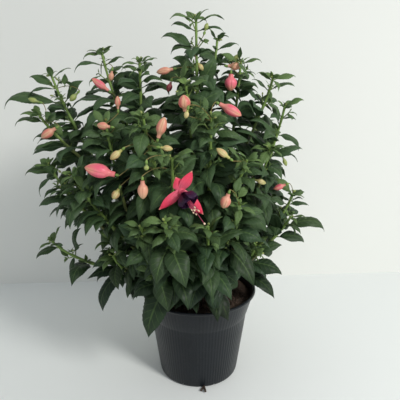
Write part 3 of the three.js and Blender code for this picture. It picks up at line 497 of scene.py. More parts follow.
# %% The buds, each by where its tube starts, where it ends, its girth and its colour
BUDS = {
    "bud_rose": ((114.9, 174.5, 135), (84.7, 167.3, 135), 17, "coral"),
    "bud_front_left": ((142.5, 180.7, 150), (143.2, 199, 150), 12.5, "peach"),
    "bud_shade": ((119, 189, 120), (113, 199, 120), 10, "cream"),
    "bud_cream_left": ((121.8, 149.9, 125), (110.3, 159.4, 125), 9, "cream"),
    "bud_upright": ((158.2, 137.8, 125), (164.5, 117.3, 125), 12.5, "peach"),
    "bud_facing": ((185.5, 111, 110), (183.5, 95, 115), 15, "peach"),
    "bud_small": ((187.5, 110, 127), (185.5, 118.5, 125), 6, "cream"),
    "bud_tan": ((173, 69, 30), (156.5, 72.5, 30), 10, "peach"),
    "bud_deep": ((171, 82, 40), (168, 92, 40), 8, "red"),
    "bud_dusty": ((108.6, 90.6, 30), (92, 78.5, 30), 10, "coral"),
    "bud_slim": ((118, 109, 60), (117.5, 96, 60), 7.5, "peach"),
    "bud_brown": ((112, 71, 15), (110.5, 81, 15), 7.5, "peach"),
    "bud_left": ((55.5, 128.4, 50), (41.5, 137.8, 50), 12, "peach"),
    "bud_inner": ((110, 127, 95), (97, 125, 95), 10, "peach"),
    "bud_right_top": ((228, 66, 5), (241, 66.5, 5), 11, "peach"),
    "bud_opening": ((231, 74, 20), (230.5, 91, 20), 17, "coral"),
    "bud_coral": ((219.5, 104, 75), (241.3, 115.7, 75), 14, "coral"),
    "bud_cream_right": ((229.5, 158.3, 125), (216.5, 148.4, 125), 8.5, "cream"),
    "bud_high": ((198, 63, 25), (203, 70.5, 25), 7, "cream"),
    "bud_salmon": ((285.5, 184.6, 30), (273.5, 189, 30), 8.5, "coral"),
    "bud_yellow": ((255, 179.5, 65), (266, 183.5, 65), 7.5, "cream"),
    "bud_front_right": ((228.4, 194, 140), (223, 208.1, 140), 13, "peach"),
    "bud_centre": ((160.6, 147.6, 135), (172.8, 149, 135), 7.5, "cream"),
}
YOUNG_BUDS = {
    "young_left": ((39, 102, 25), (28, 98.5, 25), 7, "young"),
    "young_inner": ((77, 93.5, 20), (70, 101, 20), 8.5, "young"),
    "young_crown": ((205, 31, 15), (207.5, 23, 15), 6.5, "young"),
    "young_right_top": ((232, 60, -5), (241, 54.5, -5), 7, "young"),
    "young_right": ((283, 157.5, 40), (286.5, 166, 40), 6, "young"),
    "young_round": ((146.5, 164.5, 156), (146.5, 170.5, 156), 6.5, "young"),
}
print("coloured buds:", len(BUDS), "and young ones:", len(YOUNG_BUDS))


# %% [markdown]
# The solid leaves were placed with seeded draws, tried again until each one was clear of the rest.
# Repeating the draws gives the same tries, and the frame's own points say which try was kept: a
# leaf's tip is a corner of its stem's mesh. So no list of results has to be carried over.

# %% The same seeded draws
WORD = 0xFFFFFFFF  # the draws are worked out in whole numbers of 32 bits


def draws(*keys):
    """A seeded source: whole-number keys give the same numbers from 0 to 1 each time."""
    state = 0x9E3779B9
    for key in keys:
        state = (((state ^ (int(key) + 0x7F4A7C15)) * 0x85EBCA6B) ^ (state >> 13)) & WORD
    while True:
        state = (state + 0x6D2B79F5) & WORD
        mixed = ((state ^ (state >> 15)) * (1 | state)) & WORD
        mixed = ((mixed + (mixed ^ (mixed >> 7)) * (61 | mixed)) & WORD) ^ mixed
        yield (mixed ^ (mixed >> 14)) / (WORD + 1)


def nudge(draw):
    """A vector of three draws, each moved to lie between -0.5 and 0.5."""
    return vec(next(draw) - 0.5, next(draw) - 0.5, next(draw) - 0.5)


print("two draws:", [round(next(draws(key)), 3) for key in (1, 2)])


# %% [markdown]
# Each shoot leaves the compost, or its parent, in a bow and turns up towards its tip. A solid stem
# follows that line in a few straight pieces. The fine one follows it in short steps.

# %% The shoots' lines
COMPOST_TOP, PLANTED = 137.0, 30.0  # the compost's height, and how deep a stem starts below it
SEGMENT, FINE_SEGMENT = 55.0, 6.0  # the straight pieces of a solid stem and of a fine one
LINE_STEPS = 200

routes, smooth_routes = {}, {}


def cubic(start, a, b, tip, t):
    """The points at shares t of a curve that leaves its start towards a and reaches its tip from b."""
    return (1 - t) ** 3 * start + 3 * (1 - t) ** 2 * t * a + 3 * (1 - t) * t**2 * b + t**3 * tip


def along_route(points, share):
    """The point and direction at a share of a line of evenly spaced points."""
    at = min(max(share, 0.0), 1.0) * (len(points) - 1)
    i = min(int(at), len(points) - 2)
    return between(points[i], points[i + 1], at - i), unit(points[i + 1] - points[i])


def draw_route(name):
    """Works out a shoot's line, once in the solid's straight pieces and once in fine ones."""
    branch = BRANCHES[name]
    tip = vec(*branch["at"]) if "at" in branch else seen(branch["tip"])
    if "from" in branch:
        start, parent_ahead = along_route(routes[branch["from"][0]], branch["from"][1])
        first = unit(unit(tip - start) + 0.8 * parent_ahead)
    else:
        start = vec(*branch["root"], COMPOST_TOP - PLANTED)
        first = unit(UP + vec(tip[0], tip[1], 0) * 0.002)
    span = np.linalg.norm(tip - start)
    last = unit(unit(tip - start) + 0.55 * UP)
    a, b = start + first * span * 0.36, tip - last * span * 0.3
    t = np.linspace(0, 1, LINE_STEPS + 1)[:, None]
    curve = cubic(start, a, b, tip, t)
    run = np.concatenate([[0], np.cumsum(np.linalg.norm(np.diff(curve, axis=0), axis=1))])
    pieces, fine_pieces = max(3, int(run[-1] / SEGMENT + 0.5)), int(run[-1] / FINE_SEGMENT)
    for kept, count in ((routes, pieces), (smooth_routes, fine_pieces)):
        at = np.interp(np.linspace(0, run[-1], count + 1), run, t[:, 0])[:, None]
        kept[name] = cubic(start, a, b, tip, at)


for name in BRANCHES:
    draw_route(name)


def route_length(points):
    return float(np.linalg.norm(np.diff(points, axis=0), axis=1).sum())


print("longest shoot in mm:", round(max(route_length(r) for r in routes.values())))

# %% [markdown]
# Leaves stand in pairs, each pair crosswise to the one below, and the pairs crowd together towards
# the tip. A leaf's line needs only three points: its root, a bend and its tip. Leaves that are aimed
# reach a given pixel, and the others spread by rule.

# %% The places of the leaf pairs
FULL_LENGTH, SLIMNESS, WIDEST = 70.0, 0.42, 28.0  # of a leaf: mm long, width to length, mm wide
PAIR_GROWTH = (0.38, 0.62, 0.84, 1.0, 1.0, 1.0)  # how much of that length each pair has, from the tip
PAIR_GAP = (3, 16, 24, 30, 33, 33)  # mm from the tip, and then from one pair to the next
BARE_BRANCH, BARE_TRUNK = 16, 26  # mm without leaves at the foot of a side shoot, above the compost
TRIES = 22


def leaf_pairs(name):
    """The number and the share of the shoot's length of each leaf pair, counted from the tip."""
    branch, length = BRANCHES[name], route_length(routes[name])
    bare = BARE_BRANCH if "from" in branch else PLANTED + BARE_TRUNK
    pairs, below = [], 0
    for i in range(branch.get("pairs", 4)):
        below += PAIR_GAP[i]
        if length - below > bare:
            pairs.append((i, (length - below) / length))
    return pairs


print("leaf pairs on all the shoots:", sum(len(leaf_pairs(name)) for name in BRANCHES))


# %% The lines of the solid leaves
def blade_direction(root, bend, tip, roll, age, to_front):
    """The unit vector across a blade whose upper face looks up, outward and to the front."""
    chord = unit(tip - root)
    face = vec(0, -to_front * (0.45 + 0.55 * age), 1.1 - 0.6 * age)
    face += 0.6 * unit(vec(tip[0], tip[1], 0)) + 0.5 * unit(bend - between(root, tip, 0.5))
    return turned(unit(np.cross(chord, face)), chord, roll)


def leaf_line(root, bend, tip, width, roll, age, to_front):
    across = blade_direction(root, bend, tip, roll, age, to_front)
    return {"root": root, "bend": bend, "tip": tip, "width": width, "across": across, "age": age}


def pair_turn(name, index, side):
    """The angle round a shoot at which one leaf of a pair stands."""
    return NUMBER[name] * 1.1 + index * (math.pi / 2) + side * math.pi


def off_shoot(ahead, turn):
    """The unit vector that leads away from a shoot at an angle round it."""
    return turned(unit(vec(ahead[1], -ahead[0], 0.001)), ahead, turn)


def grown_leaf(name, index, share, side, attempt):
    """One try at a leaf that grows by the plant's own rule."""
    root, ahead = along_route(routes[name], share)
    draw = draws(NUMBER[name], index, side, attempt)
    age = min(index / 5, 1)
    turn = pair_turn(name, index, side)
    turn += (next(draw) - 0.5) * (0.5 + 0.1 * attempt)
    outward = off_shoot(ahead, turn)
    length = FULL_LENGTH * PAIR_GROWTH[index] * (1.05 - 0.2 * next(draw)) * (1 - 0.01 * attempt)
    droop = (0.5 + 0.7 * age) * (0.6 + 0.8 * next(draw))
    first = unit(outward + ahead * (1.0 - 0.8 * age))
    second = unit(first - UP * droop)
    bend = root + first * length * 0.5
    tip = bend + second * length * 0.5
    return leaf_line(root, bend, tip, length * SLIMNESS, (next(draw) - 0.5) * 0.8, age, 0.4)


def aimed_leaf(name, index, share, place, attempt):
    """One try at a leaf whose tip lies at a place in the picture."""
    root, ahead = along_route(routes[name], share)
    draw = draws(NUMBER[name], place[0], place[1], attempt)
    tip = seen((place[0], place[1], place[2] - root[1]))
    tip = tip + nudge(draw) * 1.6 * attempt
    length = np.linalg.norm(tip - root)
    outward = unit(vec(*(tip - root)[:2], 0))
    bend = between(root, tip, 0.5) + length * (0.14 * UP + 0.08 * outward + 0.05 * ahead)
    roll = (next(draw) - 0.5) * (0.4 + 0.05 * attempt)
    return leaf_line(root, bend, tip, min(length * SLIMNESS, WIDEST), roll, min(index / 4, 1), 0.9)


first_try = grown_leaf("crown", 3, 0.5, 0, 0)
print("a leaf's width in mm:", round(first_try["width"], 1))


# %% [markdown]
# A tree of points answers "what is the nearest corner to here" at once. Each try's tip is looked up
# in its stem's tree, and a try within 0.6 mm of a corner is the leaf that was kept.

# %% Find the solid leaves again
def corner_tree(node):
    """A tree of the corners of one of the frame's solids, in millimetres."""
    corners = frame["nodes"][node].data.vertices
    tree = KDTree(len(corners))
    for i, corner in enumerate(corners):
        tree.insert(corner.co / MM, i)
    tree.balance()
    return tree


corner_trees = {stem: corner_tree("stem_" + stem) for stem in STEMS}


def kept_try(stem, tries, end="tip", within=0.6):
    """The first of some tries whose end is a corner of the stem's solid."""
    for one in tries:
        if corner_trees[stem].find(one[end])[2] < within:
            return one
    return None


def place_for(name, tip_place, taken):
    """The free leaf place on a shoot whose distance to the tip suits its age best."""
    best = None
    for index, share in leaf_pairs(name):
        point, ahead = along_route(routes[name], share)
        tip = seen((tip_place[0], tip_place[1], tip_place[2] - point[1]))
        reach = np.linalg.norm(tip - point)
        stretch = abs(reach / (FULL_LENGTH * PAIR_GROWTH[index]) - 1)
        upward = np.dot(tip - point, ahead) / reach
        cost = 2 * stretch + 1.4 * abs(upward - 0.3 + 0.14 * index)
        for side in (0, 1):
            if (name, index, side) not in taken and (best is None or cost < best[0]):
                best = (cost, index, share, side)
    return best[1:]


leaves = {stem: [] for stem in STEMS}
aimed, missed, taken, lost = [], [], set(), 0
for name, places in LEAF_TIPS.items():
    stem = BRANCHES[name]["stem"]
    for place in places:
        index, share, side = place_for(name, place, taken)
        taken.add((name, index, side))
        line = kept_try(stem, (aimed_leaf(name, index, share, place, k) for k in range(TRIES)))
        if line:
            line["width"] *= place[3] if len(place) > 3 else 1
            leaves[stem].append(line)
            aimed.append(line)
        else:
            missed.append(aimed_leaf(name, index, share, place, 0) | {"name": name})
        lost += line is None
for name in BRANCHES:
    stem = BRANCHES[name]["stem"]
    for index, share in leaf_pairs(name):
        for side in (0, 1):
            if (name, index, side) not in taken:
                line = kept_try(stem, (grown_leaf(name, index, share, side, k) for k in range(TRIES)))
                if line:
                    leaves[stem].append(line)
                lost += line is None
solid_leaves = sum(map(len, leaves.values()))
print("solid leaves found:", solid_leaves, "aimed:", len(aimed), "without a match:", lost)


# %% [markdown]
# ## Room
# A real leaf pushes its neighbours aside, so no two blades share a place. To grow more leaves into
# the gaps, space is cut into small cells, and what already stands somewhere marks the cells round
# it. A new leaf is kept only if all its cells are free. Testing meshes against each other would be
# exact, but thousands of tries would take too long.

# %% Cells of space
CELL = 2.5
ROOM_LOW = vec(-320, -230, 60)
ROOM_CELLS = (220, 184, 220)
BLADE_STEP = 3  # mm between the points that stand for a blade
LEAF_ROOM = 2.6  # mm all round a grown blade that later leaves keep out of

room = np.zeros(ROOM_CELLS, dtype=bool)


def cell_numbers(points):
    """The cell in which each point in millimetres lies."""
    numbers = ((np.asarray(points) - ROOM_LOW) / CELL).astype(int)
    return np.clip(numbers, 0, np.array(ROOM_CELLS) - 1)


def fill_room(points, radius):
    """Marks the cells within a radius of some points as taken."""
    reach = int(math.ceil(radius / CELL))
    steps = np.arange(-reach, reach + 1)
    offsets = np.stack(np.meshgrid(steps, steps, steps, indexing="ij"), -1).reshape(-1, 3)
    offsets = offsets[np.linalg.norm(offsets, axis=1) * CELL <= radius]
    numbers = (cell_numbers(points)[:, None] + offsets[None]).reshape(-1, 3)
    numbers = np.clip(numbers, 0, np.array(ROOM_CELLS) - 1)
    room[numbers[:, 0], numbers[:, 1], numbers[:, 2]] = True


def is_free(points):
    numbers = cell_numbers(points)
    return not room[numbers[:, 0], numbers[:, 1], numbers[:, 2]].any()


print("size of the room in mm:", [count * CELL for count in ROOM_CELLS])


# %% Points that stand for a line, a leaf and a clear view
def points_on(a, b):
    """Points one cell apart on a straight line."""
    count = max(1, int(np.linalg.norm(b - a) / CELL))
    return a + (b - a) * np.linspace(0, 1, count + 1)[:, None]


def bezier(line, t):
    """The points at shares t of a leaf's line, which bows towards its bend."""
    t = np.asarray(t, dtype=float)[..., None]
    return (1 - t) ** 2 * line["root"] + 2 * (1 - t) * t * line["bend"] + t**2 * line["tip"]


def blade_points(line, start=0.25):
    """Points all over a blade, from a share of its length on."""
    length = np.linalg.norm(line["tip"] - line["root"])
    shares = np.linspace(start, 1, max(3, int(length / BLADE_STEP)))
    half = line["width"] / 2 * np.clip(np.minimum((1 - shares) * 2.2 + 0.1, (shares - 0.12) * 5), 0, 1)
    spread = np.linspace(-1, 1, max(3, int(line["width"] / BLADE_STEP) | 1))
    sideways = half[:, None, None] * spread[None, :, None] * line["across"]
    return (bezier(line, shares)[:, None] + sideways).reshape(-1, 3)


def keep_view(point, radius, reach=120.0):
    """Keeps the way from a point to the camera clear."""
    towards = unit(EYE_POINT - point)
    fill_room(points_on(point + towards * 6, point + towards * reach), radius)


for stem in STEMS:
    for line in leaves[stem]:
        fill_room(blade_points(line), LEAF_ROOM)
print("cells filled by solid leaves:", int(room.sum()))

# %% [markdown]
# ## Buds and their stalks
# Fuchsia buds hang on thin stalks from the leaf axils. Below the bud's tube sits a small green
# ovary. The stalks are tried again as the solid model did, and the frame says which one is there.

# %% Lines of buds and stalks
OVARY, STALK_GAP = 5.5, 0.4  # the ovary's length, and the gap between it and the bud
AXILS_TRIED, STALK_TRIES = 12, 12
BEST_STALK, SHORT_STALK = 26, 12  # mm from axil to bud: what suits best, and what is too near


def bud_line(bud):
    """Where a bud starts and ends, and its direction."""
    start, tip = seen(bud[0]), seen(bud[1])
    return start, tip, unit(tip - start)


def axils_for(start, direction):
    """The leaf axils that suit a bud best as the place of its stalk."""
    axils = []
    for name in BRANCHES:
        for _, share in leaf_pairs(name):
            point = along_route(routes[name], share)[0]
            reach = np.linalg.norm(point - start)
            beyond = max(0.0, np.dot(point - start, direction) / max(reach, 1))
            cost = abs(reach - BEST_STALK) + 14 * beyond + (30 if reach < SHORT_STALK else 0)
            axils.append((cost, name, share, point, reach))
    return sorted(axils, key=lambda one: one[0])[:AXILS_TRIED]


def stalk_tries(start, direction, axil):
    """The arched stalks that the solid model tried from one axil."""
    _, name, share, point, reach = axil
    seat = start - direction * STALK_GAP
    joint = seat - direction * OVARY
    for attempt in range(STALK_TRIES):
        draw = draws(math.floor(start[0] * 10 + 0.5), math.floor(start[2] * 10 + 0.5), attempt)
        arch = between(point, joint, 0.5) + UP * reach * 0.12 - direction * reach * 0.18
        arch = arch + nudge(draw) * reach * 0.12 * attempt
        middle = between(between(point, arch, 0.5), between(arch, joint, 0.5), 0.5)
        yield {"name": name, "share": share, "arch": arch, "joint": joint, "seat": seat, "middle": middle}


def kept_stalk(start, direction):
    """The stalk that the solid model kept for a bud."""
    for axil in axils_for(start, direction):
        tries = stalk_tries(start, direction, axil)
        found = kept_try(BRANCHES[axil[1]]["stem"], tries, "middle", 1.0)
        if found:
            return found
    return None


# %% [markdown]
# The open flower needs only a few sizes: where its tube ends, which way it faces, where its sepals
# end, and how long and wide its skirt is. They are kept by name, for its room now and its petals later.

# %% The open flower's sizes
SEPAL_ENDS = ((175.5, 177, 146), (191.6, 170.5, 148), (158.7, 209, 146), (203, 214, 132))
FLOWER = {
    "mouth": seen((181.8, 192, 146)),
    "facing": unit(vec(0.55, -0.6, -0.58)),
    "tube": 15.0,
    "sepal_tips": [seen(place) for place in SEPAL_ENDS],
    "sepal_width": 16.0,
    "skirt": 19.0,
    "skirt_radius": 13.0,
    "pistil": 50.0,
}
FLOWER["start"] = FLOWER["mouth"] - FLOWER["facing"] * FLOWER["tube"]
print("the flower's mouth in mm:", FLOWER["mouth"].round(1))

# %% Find the stalks, and keep the buds and the flower in view
stalks = {}
for name, bud in {**BUDS, **YOUNG_BUDS}.items():
    start, tip, direction = bud_line(bud)
    stalks[name] = kept_stalk(start, direction)
    fill_room(points_on(start - direction * OVARY, tip), bud[2] * 0.5 + 1)
    keep_view(between(start, tip, 0.5), bud[2] * 0.45)
    keep_view(between(start, tip, 0.85), bud[2] * 0.3)
stalks["flower"] = kept_stalk(FLOWER["start"], FLOWER["facing"])
blossom = FLOWER["mouth"] + FLOWER["facing"] * FLOWER["skirt"]
fill_room(points_on(FLOWER["start"], blossom), 15)
fill_room(points_on(blossom, FLOWER["mouth"] + FLOWER["facing"] * FLOWER["pistil"]), 8)
keep_view(between(FLOWER["mouth"], blossom, 0.6), 15)
for tip in FLOWER["sepal_tips"]:
    fill_room(points_on(FLOWER["mouth"], tip), 8)
    keep_view(between(FLOWER["mouth"], tip, 0.5), 9)
    keep_view(between(FLOWER["mouth"], tip, 0.9), 7)
print("stalks found:", sum(s is not None for s in stalks.values()), "of", len(stalks))

# %% [markdown]
# ## More leaves
# With its youngest leaves this bush carries about two thousand, and the solid model holds only one in
# eight of them. The rest grow here by the same rule, from random places on the same shoots: young
# leaves near a tip point up, and old ones spread and hang. Large ones come first and small ones
# fill what is left, as in a real bush. Seen from the front they stay within the bush's own outline,
# whose corners were read from the picture.

# %% The bush's outline from the front
OUTLINE = [
    (48, 106), (62, 96), (84, 90), (98, 84), (110, 68), (138, 66), (160, 66), (178, 58), (192, 46),
    (206, 46), (226, 58), (246, 66), (256, 84), (272, 94), (282, 112), (268, 130), (294, 146),
    (272, 160), (298, 184), (280, 196), (298, 212), (280, 228), (276, 240), (270, 258), (254, 266),
    (246, 282), (232, 300), (212, 312), (186, 312), (166, 320), (150, 332), (140, 320), (136, 300),
    (126, 294), (122, 276), (110, 268), (98, 270), (97, 250), (101, 234), (94, 226), (78, 228),
    (64, 226), (54, 206), (52, 186), (36, 172), (32, 140), (44, 124),
]  # fmt: skip


def inside_outline(columns, rows):
    """True where pixels lie inside the outline: a ray to the right crosses it an odd number of times."""
    inside = np.zeros(len(columns), dtype=bool)
    for (x0, y0), (x1, y1) in zip(OUTLINE, OUTLINE[1:] + OUTLINE[:1]):
        crosses = (y0 > rows) != (y1 > rows)
        with np.errstate(divide="ignore", invalid="ignore"):
            at = x0 + (rows - y0) * (x1 - x0) / (y1 - y0)
        inside ^= crosses & (columns < at)
    return inside


POT_RIM, POT_HEIGHT = 95.0, 150.0


def clear_of_pot(points, lowest):
    """True where points are outside the rim, well above the compost or above the pot."""
    reach = np.hypot(points[:, 0], points[:, 1])
    over = (reach > POT_RIM + 4) & (points[:, 2] > lowest)
    above = (reach < POT_RIM - 8) & (points[:, 2] > COMPOST_TOP + 8)
    return bool((over | above | (points[:, 2] > POT_HEIGHT + 4)).all())


print("corners of the outline:", len(OUTLINE))


# %% [markdown]
# Each shoot ends in a knot of small new leaves, and short side shoots with a few more stand in the
# axils below. They are small, but their fresh green is what makes a bush look alive, so they come
# before the large leaves and take their room first.

# %% Young leaves at the tips and in the axils
pick = np.random.default_rng(7)
side_shoots = {stem: [] for stem in STEMS}  # (start, end) of each short stem
budlets = {stem: [] for stem in STEMS}  # (foot of its stalk, start, end, girth) of each green bud
TIP_SIZES, TIP_SETBACK = (27, 21, 14, 9), 4  # mm: leaves from the lowest pair up, start below the tip
CROWN_SIZES, CROWN_SETBACK = (38, 30, 21, 13), 8  # the same on the topmost shoot


def young_pairs(root, ahead, sizes, turn, climb):
    """Pairs of young leaves up a short shoot, each crosswise to the one below."""
    sideways = unit(np.cross(ahead, vec(0.03, 0.02, 1)))
    for pair, size in enumerate(sizes):
        for side in (0, 1):
            angle = turn + pair * math.pi / 2 + side * math.pi + pick.uniform(-0.35, 0.35)
            outward = turned(sideways, ahead, angle)
            length = size * pick.uniform(0.8, 1.2)
            first = unit(outward + ahead * (0.45 + 0.3 * pair))
            second = unit(first + outward * 0.3 - UP * pick.uniform(0.0, 0.8))
            at = root + ahead * climb * pair
            bend = at + first * length * 0.5
            wide, roll = length * pick.uniform(0.38, 0.5), pick.uniform(-0.5, 0.5)
            line = leaf_line(at, bend, bend + second * length * 0.5, wide, roll, 0, 0.5)
            line["youth"] = min(1.0, 0.2 + 0.25 * pair + pick.uniform(0, 0.25))
            yield line


def keep_free_ones(lines, stem):
    """Adds those young leaves to a stem that find room, and says how many they are."""
    kept = [line for line in lines if is_free(blade_points(line, 0.6))]
    for line in kept:
        fill_room(blade_points(line, 0.5), 0.5)
        leaves[stem].append(line)
    return len(kept)


def add_budlets(at, ahead, stem, count):
    """Adds some green buds no longer than a grain, each on a stalk of a few millimetres."""
    for _ in range(count):
        outward = unit(ahead * 0.6 + unit(pick.normal(size=3)) - UP * 0.2)
        start = at + outward * pick.uniform(2, 5)
        end = start + outward * pick.uniform(4, 6.5)
        budlets[stem].append((at, start, end, pick.uniform(2.4, 3.4)))


young = 0
for name, branch in BRANCHES.items():
    stem, route = branch["stem"], smooth_routes[name]
    tip, ahead = route[-1], unit(route[-1] - route[-2])
    sizes, setback = (CROWN_SIZES, CROWN_SETBACK) if name == "crown" else (TIP_SIZES, TIP_SETBACK)
    knot = young_pairs(tip - ahead * setback, ahead, sizes, NUMBER[name] * 1.1 + 1.2, 1.6)
    young += keep_free_ones(knot, stem)
    add_budlets(tip, ahead, stem, pick.integers(1, 4))
    for index, share in leaf_pairs(name)[1:4]:
        for side in (0, 1):
            root, ahead = along_route(route, share)
            turn = pair_turn(name, index, side)
            lean = unit(off_shoot(ahead, turn) + ahead * pick.uniform(0.9, 1.6))
            end = root + lean * pick.uniform(6, 16)
            sizes = (pick.uniform(14, 22), pick.uniform(9, 13), 7)
            if pick.random() < 0.7 and is_free(end[None] + lean * 3):
                found = keep_free_ones(young_pairs(end, lean, sizes, turn, 1.4), stem)
                if found:
                    top = end + lean * 2.5
                    side_shoots[stem].append((root, top))
                    add_budlets(top, lean, stem, int(pick.random() < 0.35))
                young += found
print("young leaves:", young, "side shoots:", sum(map(len, side_shoots.values())))

# %% [markdown]
# The longest bud stalks would look bare. On the plant such a stalk is the end of a shoot and has
# small leaves of its own, so two knots of young leaves go part of the way up each.

# %% Leaves part of the way up the long bud stalks
LONG_STALK = 32.0  # mm in a straight line
stalk_leaves = 0
for found in stalks.values():
    root = along_route(smooth_routes[found["name"]], found["share"])[0]
    if np.linalg.norm(found["joint"] - root) > LONG_STALK:
        stem = BRANCHES[found["name"]]["stem"]
        line = {"root": root, "bend": found["arch"], "tip": found["joint"]}
        for share in (0.3, 0.52):
            at, further = bezier(line, [share, share + 0.05])
            sizes = (pick.uniform(18, 26), pick.uniform(9, 12))
            pairs = young_pairs(at, unit(further - at), sizes, pick.uniform(0, 3), 1.0)
            stalk_leaves += keep_free_ones(pairs, stem)
print("leaves on the long stalks:", stalk_leaves)

# %% [markdown]
# Some things have to stay in view: the aimed leaves, the tips of the topmost shoots, and a little
# compost at the right. Their ways to the camera are marked as taken before the other leaves come.

# %% Keep the view clear, and try the missing leaves of the outline again
SHORT_VIEW = 60  # mm towards the camera
TOP_SHOOTS = ("crown", "left_high", "left_side", "right_side", "right_high")
COMPOST_SHOWS = (vec(58, -36, 141), vec(70, -12, 141), vec(80, 10, 141))
MISSED_WIDTH = 0.85

for line in aimed:
    keep_view(between(line["bend"], line["tip"], 0.4), 3.0, SHORT_VIEW)
for name in TOP_SHOOTS:
    for point in smooth_routes[name][-14::3]:
        keep_view(point, 2.6, SHORT_VIEW)
for spot in COMPOST_SHOWS:
    keep_view(spot, 8)
second_chances = 0
for line in missed:  # leaves of the outline that the solid had no room for, a little slimmer
    line["width"] *= MISSED_WIDTH
    if is_free(blade_points(line, 0.5)):
        fill_room(blade_points(line), 1.5)
        leaves[BRANCHES[line["name"]]["stem"]].append(line)
        second_chances += 1
print("leaves of the outline that fit when slimmer:", second_chances, "of", len(missed))

# %% Leaves of every size in the room that is left
BOX_LOW, BOX_HIGH = (np.array(corner) / MM for corner in frame_box)
BOX_MARGIN = 2  # mm that these leaves keep from the frame's box
HANG_LOWEST = 126.0  # some leaves hang over the rim down to this height
LOOSE_BARE_BRANCH, LOOSE_BARE_TRUNK = 12, 20  # mm without these leaves at a shoot's foot
LEAF_ROUNDS = [(74, 14000), (62, 10000), (48, 8000), (34, 5000)]  # (longest leaf in mm, tries)


def loose_leaf(name, size):
    """A leaf by the plant's rule at a random place on a shoot, about `size` long at most."""
    length = route_length(routes[name])
    bare = LOOSE_BARE_BRANCH if "from" in BRANCHES[name] else PLANTED + LOOSE_BARE_TRUNK
    below = pick.uniform(4, max(6, min(length - bare, 240)))
    share = 1 - below / length
    root, ahead = along_route(smooth_routes[name], share)
    age = min(below / 120, 1)
    outward = unit(np.cross(ahead, unit(pick.normal(size=3))))
    outward = unit(outward + vec(root[0], root[1], 0) / 160 * pick.uniform(0, 1.2))
    reach = min(size, FULL_LENGTH * (0.3 + 0.75 * min(below / 60, 1))) * pick.uniform(0.85, 1.08)
    first = unit(outward + ahead * (0.9 - 0.7 * age) * pick.uniform(0.4, 1.4))
    second = unit(first - UP * (0.5 + 0.8 * age) * pick.uniform(0.4, 1.7))
    bend = root + first * reach * 0.5
    tip = bend + second * reach * 0.5
    wide = min(reach * pick.uniform(0.41, 0.52), 31)
    return leaf_line(root, bend, tip, wide, pick.uniform(-0.7, 0.7), age, 0.6)


def fits(line):
    """True if a leaf stays in the frame's box and the outline, and touches nothing."""
    points = blade_points(line, 0.3)
    return (
        (points > BOX_LOW + BOX_MARGIN).all()
        and (points < BOX_HIGH - BOX_MARGIN).all()
        and clear_of_pot(points, HANG_LOWEST)
        and is_free(points)
        and inside_outline(*pixels_of(points[:: max(1, len(points) // 12)])).mean() > 0.9
    )


names = list(BRANCHES)
weights = np.array([route_length(routes[n]) for n in names])
weights /= weights.sum()
added = 0
for size, tries in LEAF_ROUNDS:
    for name in pick.choice(names, tries, p=weights):
        line = loose_leaf(name, size)
        if fits(line):
            fill_room(blade_points(line), LEAF_ROOM)
            leaves[BRANCHES[name]["stem"]].append(line)
            added += 1
    print("leaves added down to", size, "mm:", added)


# %% [markdown]
# ## The shape of one leaf
# A fuchsia leaf is a pointed oval on a short stalk. Its two halves rise from the midrib and turn
# down again at the toothed edge, the blade puffs up between the side veins, and the tip droops. It
# could be one flat shape with a picture of a leaf, but then its edge and its puffs would vanish from
# the side. Here it is a thin closed body: an upper and a lower sheet of points that share their edge.

# %% One leaf as points and faces
LEAF_OUTLINE = np.array([
    (0, 0.06), (0.04, 0.28), (0.12, 0.62), (0.22, 0.88), (0.35, 1.0), (0.5, 0.95), (0.65, 0.76),
    (0.78, 0.49), (0.88, 0.26), (0.95, 0.10), (1, 0.015),
])  # fmt: skip
STALK_SHARE = 0.14
SIDE_VEINS = 7
VEIN_SLANT = 0.2
SHEET = 0.34  # thickness of a blade
TOOTH = 0.05  # depth of a tooth against half the width
# Painted shade: leaves low in the bush are coloured darker, as the foliage above shades them.
SHADED_BELOW, SHADE_FADE_SPAN = 150, 250  # leaves are paler from this height on, over this many mm
HABITS = {  # the least and the most of each habit, as shares, or as angles in radians
    "tone": (0, 1), "cool": (0, 1), "fold": (0.15, 0.42), "drop": (0.25, 0.6), "ripple": (0, 1),
    "curl": (0.1, 0.6), "arch": (0.02, 0.12), "twist": (-0.5, 0.5), "sway": (-0.05, 0.05),
}  # fmt: skip

sheet_faces = {}


def faces_of_sheet(rows, columns):
    """Faces of two sheets of points that share their long edges; the lower one lacks the edges."""
    if (rows, columns) not in sheet_faces:
        upper = np.arange(rows * columns).reshape(rows, columns)
        lower = upper.copy()
        lower[:, 1:-1] = rows * columns + np.arange(rows * (columns - 2)).reshape(rows, columns - 2)
        faces = []
        for i in range(rows - 1):
            for k in range(columns - 1):
                faces.append((upper[i, k], upper[i, k + 1], upper[i + 1, k + 1], upper[i + 1, k]))
                faces.append((lower[i, k], lower[i + 1, k], lower[i + 1, k + 1], lower[i, k + 1]))
        faces.append((*upper[0][::-1], *lower[0][1:-1]))
        faces.append((*upper[-1], *lower[-1][1:-1][::-1]))
        sheet_faces[(rows, columns)] = faces
    return sheet_faces[(rows, columns)]


print("faces of the largest leaves:", len(faces_of_sheet(31, 9)))


# %% The habit of a leaf, and the frame of a blade
def habit_of(line, number):
    """How one leaf differs from the next, drawn from its own place."""
    draw = draws(number, int(line["tip"][0] * 7), int(line["tip"][2] * 5))
    habit = {name: low + (high - low) * next(draw) for name, (low, high) in HABITS.items()}
    habit["youth"] = line.get("youth", max(0.0, 0.4 - 1.4 * line["age"]))
    # Painted shade: the tone is mostly the tip's height, so the low, shaded leaves are darker; the rest is
    # drawn at random.
    habit["tone"] = 0.3 * habit["tone"] + 0.7 * min(max((line["tip"][2] - SHADED_BELOW) / SHADE_FADE_SPAN, 0), 1)
    return habit


